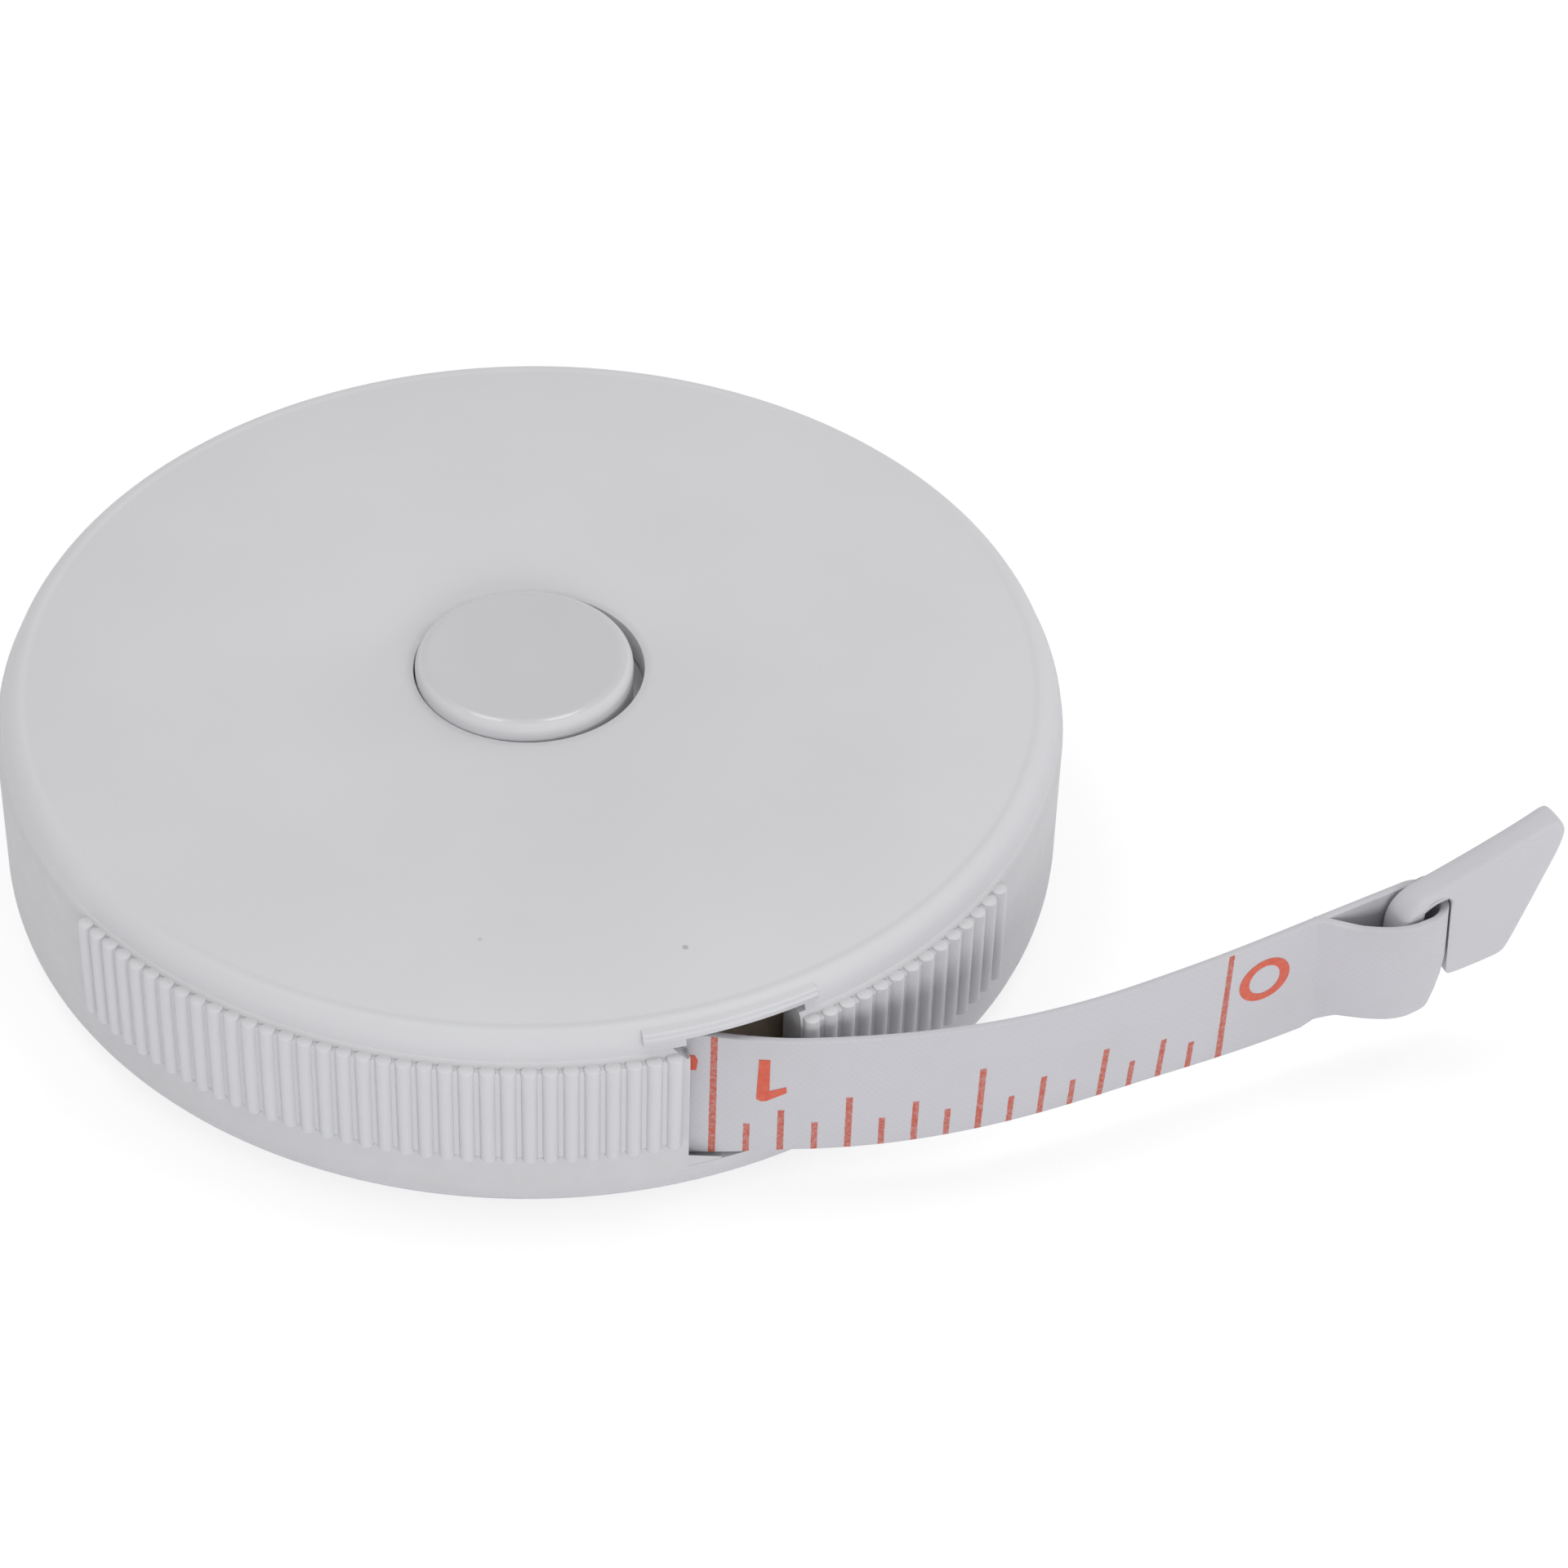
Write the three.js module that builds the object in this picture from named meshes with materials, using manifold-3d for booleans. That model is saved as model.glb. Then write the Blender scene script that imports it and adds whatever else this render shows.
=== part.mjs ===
// A round push-button tape measure: a spring-wound cloth tape in a two-shell plastic case, with a
// finger tab hooked into the tape's end loop.
// Millimetres. +Z is up, the case stands on Z = 0 and its centre line is the Z axis.
// The front is -Y. The tape leaves the case at the front and runs off towards +X.
// Angles round the case are in degrees from the front, positive towards +X.
import * as THREE from "three";
import { mergeVertices } from "three/addons/utils/BufferGeometryUtils.js";
import Module from "manifold-3d";

const wasm = await Module();
wasm.setup();

// Gaps
const runGap = 0.3; // between pieces that move past each other
const fitGap = 0.2; // between pieces that are fixed together
const overrun = 1; // how far a cutter reaches past what it cuts
const bite = 0.3; // how far a rib, lug or ear is rooted in its wall

// Tape
const tapeWidth = 7.2;
const tapeThickness = 0.4;
const tapeWoundLength = 1486; // what stays on the reel of a 1524 mm (60 inch) tape

// Case
const caseRadius = 26.6;
const caseWall = 1.6;
const caseFloor = 1;
const caseFoot = 2.4; // radius of the rounded lower edge
const capPlate = 1.4;
const capBead = 1; // radius of the bead round the top
const capInset = 0.4; // the bead stands this far inside the wall
const capFlat = 19.7; // radius of the flat middle of the top
const capFall = 0.3; // the top slopes down this much from its flat middle to the bead
const seam = 0.1; // open parting line under the cap
const wallTaper = 0.8; // height over which the wall's upper edge draws in to the bead
const skirtThickness = 0.7;
const skirtDrop = 1.3;
const skirtStart = 34;
const skirtEnd = 340;
const caseSteps = 64;
const footSteps = 6;
const beadSteps = 5;
const sectorStep = 6; // degrees between the corners of an arc

// Grip ribs
const ribHeight = 0.5;
const ribsPerTurn = 172;
const ribBottom = 4.25;
const ribRoot = 0.6; // the rib pads start this deep in the wall
const ribFlankShare = 0.3; // share of the pitch that one flank of a rib takes

// Tape window
const windowStart = 15.5;
const windowEnd = 27.8;
const windowCorner = 0.6; // bevel of the upper corner on the ribs' side
const lipStart = 11;
const lipEnd = 30;
const lipLift = 0.35; // from the cap's underside to the lip's
const lipHeight = 0.6;
const lipProud = 0.2; // past the cap's bead

const ribZones = [
  [-53.2, 13],
  [windowEnd, 57.5],
  [142, 218],
];

// Snap lugs that hold the cap
const snapAngles = [75, 150, 215, 290];
const snapWidth = 3;
const snapHeight = 0.5;
const snapProud = 0.45;

// Push button
const buttonRadius = 5.45;
const buttonProud = 0.9;
const buttonEdge = 0.3;
const buttonRoof = 1.3;
const buttonWall = 1.4;
const buttonFlange = 1.2; // how far the flange stands out from the button
const buttonFlangeHeight = 0.8;
const buttonLugHeight = 0.7;
const buttonLugLength = 1.6;
const buttonSteps = 40;

// Reel
const linerThickness = 0.25;
const linerWidth = 4.2;
const reelFlange = 0.55;
const tapeHeadroom = 0.45; // from the tape's upper edge to the upper liner
const mouthGap = 1.2; // from the middle of the leaving tape to the wall's inner face
const drumWall = 0.8;
const lidThickness = 0.6;
const bossWall = 0.8;
const anchorAngle = 200;
const anchorWidth = 3;
const anchorMargin = 1; // from the drum wall's upper and lower edges to the anchor
const reelSteps = 48;

// Arbor and mainspring
const arborRadius = 2;
const arborSlot = 0.6;
const arborFloor = 0.5; // floor left under the arbor
const clipThickness = 0.4;
const clipWidth = 1.4;
const clipDepth = 0.3; // depth of the clip's groove
const clipOpening = 80; // degrees
const mainspringStrip = 0.25;
const mainspringTurns = 8;
const mainspringSpread = 0.5; // exponent that packs the turns towards the drum wall
const mainspringSteps = 18; // per turn

// Coil springs
const buttonSpringRadius = 1.75;
const buttonSpringWire = 0.4;
const buttonSpringTurns = 4;
const spigotRadius = 1.2;
const spigotHeight = 0.7;
const coilSteps = 12; // per turn
const wireSides = 6;

// Brake
const leverThickness = 0.8;
const leverArm = 1.8; // half the width of the outer arm
const leverFork = 1.6; // width of one fork arm
const leverYoke = 1.3; // length of the yoke that joins the fork arms
const hubRadius = 1.1;
const hubHalf = 1.2;
const pinRadius = 0.5;
const barSteps = 20; // corners round a pin or a bar
const earThickness = 0.8;
const earGap = 1.7; // from the hub's end to the ear
const padThickness = 0.6;
const ringThickness = 0.4;
const ringInset = 1.1;
const ringInnerShare = 0.727; // of the ring's outer radius
const padStartShare = 0.405; // of the room from the hub to the ring's outer edge
const padLengthShare = 0.49; // of the same room
const brakeSpringRadius = 0.95;
const brakeSpringWire = 0.24;
const brakeSpringTurns = 2.75;
const brakeSpringLeg = 3;
const brakeSpringLegTurns = 2; // samples for the legs, in turns of the coil

// Free tape
const leaveAngle = 4.6; // the tape leaves this much outwards from straight along +X
const mouthInset = 0.63; // the straight run ends this far inside the wall's outer face
const curlRun = 19.9;
const curlTurn = 28.2;
const curlRadius = 33.4; // at the mouth, where the tape curls most
const curlSteps = 14;
const tailRun = 15.1; // from the end of the curl to the middle of the loop's bend
const tailSteps = 6;
const tapeLean = 2; // lean of the upper edge towards the front at the loop
const tapePitch = 5.2; // how far the tape's end is tipped up
const tipReach = 11.6; // from the middle of the loop's bend back to where the end starts to tip up
const tipRun = 6.7; // length over which it tips up

// End loop
const loopReach = 4.55; // from the middle of the bend back to where the loop opens
const loopShoulder = 0.45; // from the middle of the bend back to where the front layer levels out
const loopBend = 1.05; // inner radius of the bend
const loopOpenShare = 0.3; // share of the ramp where the front layer has left the back one
const loopSteps = 10;
const loopTrim = 0.6; // the folded end is this much narrower, at its lower edge
const trimReach = 3.95; // from the middle of the bend back to where the lower edge is full height
const trimSlant = 1.2;

// Pull tab
const tabThickness = 1.7;
const tabBevel = 0.3;
const tabSteps = 6; // corners along each of its rounds
const barRadius = 0.75;
const barBack = 0.75; // from the middle of the loop's bend back to the middle of the bar
const barDrop = 2.6; // from the tape's middle down to the bar's lower end
const tabDrop = 1.7; // from the tape's middle down to the tab's lower edge
const tabHeel = 5.4; // from the bar's middle to the lower corner
const tabHeelRound = 0.5;
const tabReach = 8.85; // from the bar's middle to the tip
const tabTip = 6.4; // height of the tip above the tape's middle
const tabTipRound = 1.8;
const tabNose = 4; // height of the upper edge over the bar
const tabSlope = 0.28; // fall of the upper edge from the tip to the bar, per millimetre

const degree = Math.PI / 180;

// Heights, from the floor up to the cap
const linerTop = caseFloor + linerThickness;
const reelBottom = linerTop + runGap;
const reelFlangeTop = reelBottom + reelFlange;
const tapeBottom = reelFlangeTop + runGap;
const tapeTop = tapeBottom + tapeWidth;
const tapeMiddle = (tapeBottom + tapeTop) / 2;
const capUnder = tapeTop + tapeHeadroom + linerThickness;
const caseHeight = capUnder + capPlate;
const wallTop = capUnder - seam;

// Heights of the button and the brake, from the cap down to the mainspring
const flangeTop = capUnder - runGap;
const flangeBottom = flangeTop - buttonFlangeHeight;
const lugBottom = flangeBottom - buttonLugHeight;
const leverTop = lugBottom - runGap;
const leverBottom = leverTop - leverThickness;
const pinHeight = (leverTop + leverBottom) / 2;
const padBottom = leverBottom - padThickness;
const ringTop = padBottom - runGap;
const lidTop = ringTop - ringThickness;
const lidBottom = lidTop - lidThickness;
const mainspringBottom = reelFlangeTop + runGap;
const mainspringTop = lidBottom - runGap;
const clipBottom = lidTop + runGap;
const clipTop = clipBottom + clipThickness;
const arborTop = clipTop + 2 * fitGap;
const buttonTop = caseHeight + buttonProud;
const buttonCeiling = buttonTop - buttonRoof;

// Radii, from the wall in to the arbor
const wallInner = caseRadius - caseWall;
const capRadius = caseRadius - capInset;
const discRadius = capRadius - capBead;
const exitRadius = wallInner - mouthGap;
const coilOuter = exitRadius - tapeThickness / 2 - runGap;
const coilInner = Math.sqrt(coilOuter ** 2 - (tapeWoundLength * tapeThickness) / Math.PI);
const drumOuter = coilInner - runGap;
const drumInner = drumOuter - drumWall;
const lidRadius = drumInner - fitGap;
const skirtOuter = wallInner - runGap;
const skirtInner = skirtOuter - skirtThickness;
const arborHole = arborRadius + fitGap;
const bossRadius = arborHole + bossWall;
const bossHole = bossRadius + runGap;
const flangeRadius = buttonRadius + buttonFlange;
const buttonHole = buttonRadius + runGap;
const buttonInner = buttonRadius - buttonWall;

// Places of the brake, along +X
const earHalf = hubRadius;
const pivotX = flangeRadius + runGap + earHalf + 2 * fitGap;
const ringOuter = lidRadius - ringInset;
const ringInner = ringOuter * ringInnerShare;
const armStart = pivotX + hubRadius + runGap;
const padLength = (ringOuter - armStart) * padLengthShare;
const padStart = armStart + (ringOuter - armStart) * padStartShare;
const padX = padStart + padLength / 2;
const lugY = buttonInner + (flangeRadius - buttonInner) / 2;

const solid = (geometry) => {
  const bare = geometry.clone();
  bare.deleteAttribute("normal");
  bare.deleteAttribute("uv");
  const merged = mergeVertices(bare);
  const mesh = new wasm.Mesh({
    numProp: 3,
    vertProperties: new Float32Array(merged.attributes.position.array),
    triVerts: new Uint32Array(merged.index.array),
  });
  return new wasm.Manifold(mesh);
};

const geometryOf = (body) => {
  const mesh = body.getMesh();
  const geometry = new THREE.BufferGeometry();
  geometry.setAttribute("position", new THREE.BufferAttribute(mesh.vertProperties, 3));
  geometry.setIndex(new THREE.BufferAttribute(mesh.triVerts, 1));
  geometry.computeVertexNormals();
  return geometry;
};

const join = (first, ...others) =>
  geometryOf(others.reduce((sum, other) => sum.add(solid(other)), solid(first)));

const cut = (first, ...others) =>
  geometryOf(others.reduce((rest, other) => rest.subtract(solid(other)), solid(first)));

const aroundFront = (radius, angle) =>
  new THREE.Vector2(radius * Math.sin(angle * degree), -radius * Math.cos(angle * degree));

// A solid of revolution about Z from [radius, height] points.
const turned = (profile, steps) => {
  const points = profile.map(([radius, height]) => new THREE.Vector2(radius, height));
  const last = points[points.length - 1];
  if (last.x > 0 || points[0].x > 0) points.push(points[0].clone());
  return new THREE.LatheGeometry(points, steps).rotateX(Math.PI / 2);
};

const ring = (inner, outer, bottom, top, steps) =>
  turned(
    [
      [inner, bottom],
      [outer, bottom],
      [outer, top],
      [inner, top],
    ],
    steps,
  );

const raised = (shape, bottom, top) =>
  new THREE.ExtrudeGeometry(shape, { depth: top - bottom, bevelEnabled: false })
    .translate(0, 0, bottom);

// Part of a ring between two angles.
const sector = (inner, outer, start, end, bottom, top) => {
  const steps = Math.ceil((end - start) / sectorStep);
  const angles = Array.from({ length: steps + 1 }, (_, i) => start + ((end - start) * i) / steps);
  const outline = angles.map((angle) => aroundFront(outer, angle));
  outline.push(...angles.reverse().map((angle) => aroundFront(inner, angle)));
  return raised(new THREE.Shape(outline), bottom, top);
};

const block = (length, width, height, x, y, z) =>
  new THREE.BoxGeometry(length, width, height).translate(x, y, z);

// A small block on the ring between two radii, centred on an angle.
const studAt = (angle, inner, outer, width, bottom, top) => {
  const depth = outer - inner;
  const height = top - bottom;
  return block(width, depth, height, 0, -(inner + outer) / 2, (bottom + top) / 2)
    .rotateZ(angle * degree);
};

const rodAlongY = (radius, half, x, z) =>
  new THREE.CylinderGeometry(radius, radius, 2 * half, barSteps).translate(x, 0, z);

const wireAlong = (points, wire, steps) => {
  const radius = wire / 2;
  const corners = Array.from({ length: wireSides }, (_, i) => (i * 2 * Math.PI) / wireSides);
  const section = corners.map(
    (angle) => new THREE.Vector2(radius * Math.cos(angle), radius * Math.sin(angle)),
  );
  return new THREE.ExtrudeGeometry(new THREE.Shape(section), {
    steps,
    extrudePath: new THREE.CatmullRomCurve3(points),
  });
};

const helix = (radius, turns, pitch) =>
  Array.from({ length: Math.round(turns * coilSteps) + 1 }, (_, i) => {
    const angle = (i * 2 * Math.PI) / coilSteps;
    return [radius * Math.cos(angle), radius * Math.sin(angle), (pitch * i) / coilSteps];
  });

// Ribs
const ribPad = (start, end) => {
  const count = Math.round(((end - start) * ribsPerTurn) / 360);
  const pitch = (end - start) / count;
  const outline = [aroundFront(caseRadius - ribRoot, start)];
  for (let i = 0; i < count; i += 1) {
    const angle = start + i * pitch;
    outline.push(aroundFront(caseRadius, angle));
    outline.push(aroundFront(caseRadius + ribHeight, angle + ribFlankShare * pitch));
    outline.push(aroundFront(caseRadius + ribHeight, angle + (1 - ribFlankShare) * pitch));
  }
  outline.push(aroundFront(caseRadius, end));
  const backSteps = Math.ceil((end - start) / sectorStep);
  for (let i = 0; i < backSteps; i += 1) {
    outline.push(aroundFront(caseRadius - ribRoot, end - ((end - start) * i) / backSteps));
  }
  return raised(new THREE.Shape(outline), ribBottom, wallTop);
};

// The straight run of the tape starts where it leaves the coil.
const leave = -leaveAngle * degree;
const exitRun = Math.sqrt((caseRadius - mouthInset) ** 2 - exitRadius ** 2);
const exitStart = new THREE.Vector2(Math.sin(leave), -Math.cos(leave)).multiplyScalar(exitRadius);
const alongExit = (run, outwards) =>
  new THREE.Vector2(
    exitStart.x + run * Math.cos(leave) + outwards * Math.sin(leave),
    exitStart.y + run * Math.sin(leave) - outwards * Math.cos(leave),
  );

// The window is cut along the leaving tape on its near side and radially on its far side.
const windowCutter = () => {
  const throatWall = tapeThickness / 2 + runGap;
  const far = caseRadius + ribHeight + overrun;
  const corner = aroundFront(caseRadius, windowStart);
  const cornerRun = (corner.x - exitStart.x) / Math.cos(leave);
  const near = skirtInner - overrun;
  const outline = [
    alongExit(0, throatWall),
    alongExit(cornerRun, throatWall),
    aroundFront(far, windowStart),
    aroundFront(far, windowEnd),
    aroundFront(near, windowEnd),
  ];
  return raised(new THREE.Shape(outline), reelFlangeTop, capUnder + overrun);
};

const windowCornerCutter = () => {
  const side = windowCorner * Math.SQRT2;
  const depth = 2 * caseWall;
  return block(side, depth, side, 0, 0, 0)
    .rotateY(Math.PI / 4)
    .translate(0, -caseRadius, wallTop)
    .rotateZ(windowStart * degree);
};

const lowerShell = () => {
  const foot = Array.from({ length: footSteps + 1 }, (_, i) => {
    const angle = (i * Math.PI) / 2 / footSteps;
    return [
      caseRadius - caseFoot + caseFoot * Math.sin(angle),
      caseFoot - caseFoot * Math.cos(angle),
    ];
  });
  const cup = turned(
    [
      [0, 0],
      ...foot,
      [caseRadius, wallTop - wallTaper],
      [capRadius, wallTop],
      [wallInner, wallTop],
      [wallInner, caseFoot],
      [wallInner - caseFoot + caseFloor, caseFloor],
      [bossRadius, caseFloor],
      [bossRadius, reelFlangeTop],
      [arborHole, reelFlangeTop],
      [arborHole, arborFloor],
      [0, arborFloor],
    ],
    caseSteps,
  );
  const pockets = snapAngles.map((angle) =>
    studAt(
      angle,
      wallInner - overrun,
      skirtOuter + snapProud + fitGap,
      snapWidth + 2 * fitGap,
      capUnder - skirtDrop - fitGap,
      capUnder - skirtDrop + snapHeight + fitGap,
    ),
  );
  const ribbed = join(cup, ...ribZones.map(([start, end]) => ribPad(start, end)));
  return cut(ribbed, windowCutter(), windowCornerCutter(), ...pockets);
};

const upperShell = () => {
  const beadFoot = caseHeight - capFall - capBead;
  const bead = Array.from({ length: beadSteps + 1 }, (_, i) => {
    const angle = (i * Math.PI) / 2 / beadSteps;
    return [discRadius + capBead * Math.cos(angle), beadFoot + capBead * Math.sin(angle)];
  });
  const plate = turned(
    [
      [buttonHole, capUnder],
      [capRadius, capUnder],
      ...bead,
      [capFlat, caseHeight],
      [buttonHole, caseHeight],
    ],
    caseSteps,
  );
  const skirtBottom = capUnder - skirtDrop;
  const rooted = capUnder + bite;
  const skirt = sector(skirtInner, skirtOuter, skirtStart, skirtEnd, skirtBottom, rooted);
  const lugs = snapAngles.map((angle) =>
    studAt(
      angle,
      skirtOuter - bite,
      skirtOuter + snapProud,
      snapWidth,
      skirtBottom,
      skirtBottom + snapHeight,
    ),
  );
  const lipBottom = capUnder + lipLift;
  const lip = sector(
    discRadius,
    capRadius + lipProud,
    lipStart,
    lipEnd,
    lipBottom,
    lipBottom + lipHeight,
  );
  const earBottom = pinHeight - earHalf;
  const earY = hubHalf + earGap + earThickness / 2;
  const ears = [-earY, earY].map((y) =>
    block(
      2 * earHalf,
      earThickness,
      rooted - earBottom,
      pivotX,
      y,
      (rooted + earBottom) / 2,
    ),
  );
  const pinHole = rodAlongY(pinRadius + fitGap, earY + earThickness, pivotX, pinHeight);
  return cut(join(plate, skirt, ...lugs, lip, ...ears), pinHole);
};

const pushButton = () => {
  const cap = turned(
    [
      [0, buttonCeiling - spigotHeight],
      [spigotRadius, buttonCeiling - spigotHeight],
      [spigotRadius, buttonCeiling],
      [buttonInner, buttonCeiling],
      [buttonInner, flangeBottom],
      [flangeRadius, flangeBottom],
      [flangeRadius, flangeTop],
      [buttonRadius, flangeTop],
      [buttonRadius, buttonTop - buttonEdge],
      [buttonRadius - buttonEdge, buttonTop],
      [0, buttonTop],
    ],
    buttonSteps,
  );
  const lugWidth = (flangeRadius - buttonInner) / 2;
  const lugHeight = buttonLugHeight + bite;
  const lugs = [-lugY, lugY].map((y) =>
    block(buttonLugLength, lugWidth, lugHeight, 0, y, lugBottom + lugHeight / 2),
  );
  return join(cap, ...lugs);
};

const reelDrum = () => {
  const drumTop = tapeTop - runGap;
  const drum = turned(
    [
      [bossHole, reelBottom],
      [coilOuter, reelBottom],
      [coilOuter, reelFlangeTop],
      [drumOuter, reelFlangeTop],
      [drumOuter, drumTop],
      [drumInner, drumTop],
      [drumInner, reelFlangeTop],
      [bossHole, reelFlangeTop],
    ],
    reelSteps,
  );
  const slot = studAt(
    anchorAngle,
    drumInner - overrun,
    drumOuter + overrun,
    anchorWidth + 2 * fitGap,
    tapeBottom + anchorMargin - fitGap,
    drumTop - anchorMargin + fitGap,
  );
  return cut(drum, slot);
};

const tapeAnchor = () =>
  studAt(
    anchorAngle,
    drumInner,
    drumOuter - fitGap / 2,
    anchorWidth,
    tapeBottom + anchorMargin,
    tapeTop - runGap - anchorMargin,
  );

const springArbor = () => {
  const slotHeight = mainspringTop - mainspringBottom;
  const grooveBottom = clipBottom - fitGap / 2;
  const grooveTop = clipTop + fitGap / 2;
  const pin = turned(
    [
      [0, arborFloor],
      [arborRadius, arborFloor],
      [arborRadius, grooveBottom],
      [arborRadius - clipDepth, grooveBottom],
      [arborRadius - clipDepth, grooveTop],
      [arborRadius, grooveTop],
      [arborRadius, arborTop],
      [spigotRadius, arborTop],
      [spigotRadius, arborTop + spigotHeight],
      [0, arborTop + spigotHeight],
    ],
    reelSteps / 2,
  );
  const slot = block(
    2 * (arborRadius + overrun),
    arborSlot,
    slotHeight,
    arborRadius + overrun,
    0,
    (mainspringTop + mainspringBottom) / 2,
  );
  return cut(pin, slot);
};

const arborClip = () => {
  const inner = arborRadius - clipDepth + fitGap / 2;
  const start = clipOpening / 2;
  return sector(inner, arborRadius + clipWidth, start, 360 - start, clipBottom, clipTop);
};

const mainspring = () => {
  const inner = arborRadius + runGap + mainspringStrip;
  const outer = drumInner - runGap - mainspringStrip;
  const count = mainspringTurns * mainspringSteps;
  const edge = (side) =>
    Array.from({ length: count + 1 }, (_, i) => {
      const radius = inner + (outer - inner) * (i / count) ** mainspringSpread;
      return aroundFront(radius + (side * mainspringStrip) / 2, (i * 360) / mainspringSteps);
    });
  const outline = [...edge(1), ...edge(-1).reverse()];
  return raised(new THREE.Shape(outline), mainspringBottom, mainspringTop);
};

const buttonSpring = () => {
  const bottom = arborTop + buttonSpringWire / 2 + fitGap / 2;
  const top = buttonCeiling - buttonSpringWire / 2 - fitGap / 2;
  const pitch = (top - bottom) / buttonSpringTurns;
  const points = helix(buttonSpringRadius, buttonSpringTurns, pitch).map(
    ([x, y, z]) => new THREE.Vector3(x, y, bottom + z),
  );
  return wireAlong(points, buttonSpringWire, buttonSpringTurns * coilSteps);
};

const brakeLever = () => {
  const outerTip = padX + padLength / 2;
  const yokeEnd = pivotX - earHalf - runGap;
  const yokeStart = yokeEnd - leverYoke;
  const forkTip = -buttonLugLength / 2;
  const forkInner = lugY - leverFork / 2;
  const forkOuter = lugY + leverFork / 2;
  const half = [
    [outerTip, leverArm],
    [pivotX + earHalf + runGap, leverArm],
    [pivotX + earHalf + runGap, hubHalf],
    [yokeEnd, hubHalf],
    [yokeEnd, forkOuter],
    [forkTip, forkOuter],
    [forkTip, forkInner],
    [yokeStart, forkInner],
  ];
  const mirrored = half.map(([x, y]) => [x, -y]).reverse();
  const outline = [...half, ...mirrored].map(([x, y]) => new THREE.Vector2(x, y));
  const plate = raised(new THREE.Shape(outline), leverBottom, leverTop);
  const hub = rodAlongY(hubRadius, hubHalf, pivotX, pinHeight);
  const bore = rodAlongY(pinRadius + fitGap, hubHalf + overrun, pivotX, pinHeight);
  return cut(join(plate, hub), bore);
};

const brakePad = () =>
  block(padLength, 2 * leverArm, padThickness, padX, 0, padBottom + padThickness / 2);

const brakePin = () =>
  rodAlongY(pinRadius, hubHalf + earGap + earThickness, pivotX, pinHeight);

// The coil lies round the pin beside the hub. One leg presses on the lever's outer arm and the other
// stands up to the cap.
const brakeSpring = () => {
  const pitch = brakeSpringWire + fitGap / 2;
  const start = hubHalf + fitGap + brakeSpringWire / 2;
  const coil = helix(brakeSpringRadius, brakeSpringTurns, pitch).map(
    ([z, x, y]) => new THREE.Vector3(pivotX - x, start + y, pinHeight + z),
  );
  const first = coil[0];
  const last = coil[coil.length - 1];
  const capEnd = capUnder - runGap;
  const points = [
    new THREE.Vector3(pivotX + brakeSpringLeg, first.y, first.z),
    new THREE.Vector3(pivotX + brakeSpringLeg / 2, first.y, first.z),
    ...coil,
    new THREE.Vector3(last.x, last.y, (pinHeight + capEnd) / 2),
    new THREE.Vector3(last.x, last.y, capEnd),
  ];
  const steps = Math.round((brakeSpringTurns + brakeSpringLegTurns) * coilSteps);
  return wireAlong(points, brakeSpringWire, steps);
};

// The free tape's line, as the distance run along it from where it leaves the coil.
const startCurl = 1 / curlRadius;
const easeCurl = (curlTurn * degree - curlRun * startCurl) / curlRun ** 2;
const headingAt = (run) => {
  const curl = Math.min(Math.max(run - exitRun, 0), curlRun);
  return leave + startCurl * curl + easeCurl * curl ** 2;
};

const lineFineness = 8; // samples per millimetre when the line is summed up
const tapeLine = (run) => {
  const samples = Math.max(1, Math.round(run * lineFineness));
  const step = run / samples;
  const place = exitStart.clone();
  for (let i = 0; i < samples; i += 1) {
    const heading = headingAt((i + 0.5) * step);
    place.x += step * Math.cos(heading);
    place.y += step * Math.sin(heading);
  }
  return place;
};

const besideTape = (run, outwards) => {
  const heading = headingAt(run);
  const place = tapeLine(run);
  place.x += outwards * Math.sin(heading);
  place.y -= outwards * Math.cos(heading);
  return place;
};

const bendRun = exitRun + curlRun + tailRun;
const endHeading = headingAt(bendRun);
const tipStart = tapeLine(bendRun - tipReach);
const reachOf = (x, y) =>
  (x - tipStart.x) * Math.cos(endHeading) + (y - tipStart.y) * Math.sin(endHeading);
const tippedShare = (reach) => THREE.MathUtils.clamp(reach / tipRun, 0, 1);
const riseAt = (reach) => {
  const eased = Math.max(Math.min(reach, tipRun), 0);
  const slope = Math.tan(tapePitch * degree);
  return slope * (tippedShare(reach) * reach - (tippedShare(reach) * eased) / 2);
};

// The free end leans over to the front and is tipped up, more and more along its length.
const settled = (geometry) => {
  const mouthX = tapeLine(exitRun).x;
  const endX = tapeLine(exitRun + curlRun).x;
  const position = geometry.attributes.position;
  for (let i = 0; i < position.count; i += 1) {
    const [x, y, z] = [position.getX(i), position.getY(i), position.getZ(i)];
    const reach = reachOf(x, y);
    const lean = tapeLean * THREE.MathUtils.smoothstep(x, mouthX, endX);
    const outwards = (z - tapeMiddle) * Math.tan(lean * degree);
    const back = (z - tapeMiddle) * Math.sin(tapePitch * tippedShare(reach) * degree);
    position.setXYZ(
      i,
      x + outwards * Math.sin(endHeading) - back * Math.cos(endHeading),
      y - outwards * Math.cos(endHeading) - back * Math.sin(endHeading),
      z + riseAt(reach),
    );
  }
  return geometry;
};

const bendOuter = loopBend + tapeThickness;
const bendFace = loopBend + tapeThickness / 2; // from the tape's middle to the middle of the bend

// The folded end is cut narrower, with a slanted start.
const trimCutter = () => {
  const length = trimReach + bendOuter + overrun;
  const depth = 2 * bendOuter + 2 * overrun;
  const outline = [
    [-overrun, -trimSlant - (overrun * trimSlant) / loopTrim],
    [-overrun, length],
    [loopTrim, length],
    [loopTrim, 0],
  ].map(([height, run]) => new THREE.Vector2(run, height));
  const start = besideTape(bendRun - trimReach, bendFace);
  return raised(new THREE.Shape(outline), -depth / 2, depth / 2)
    .rotateX(Math.PI / 2)
    .rotateZ(endHeading)
    .translate(start.x, start.y, tapeBottom);
};

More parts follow.
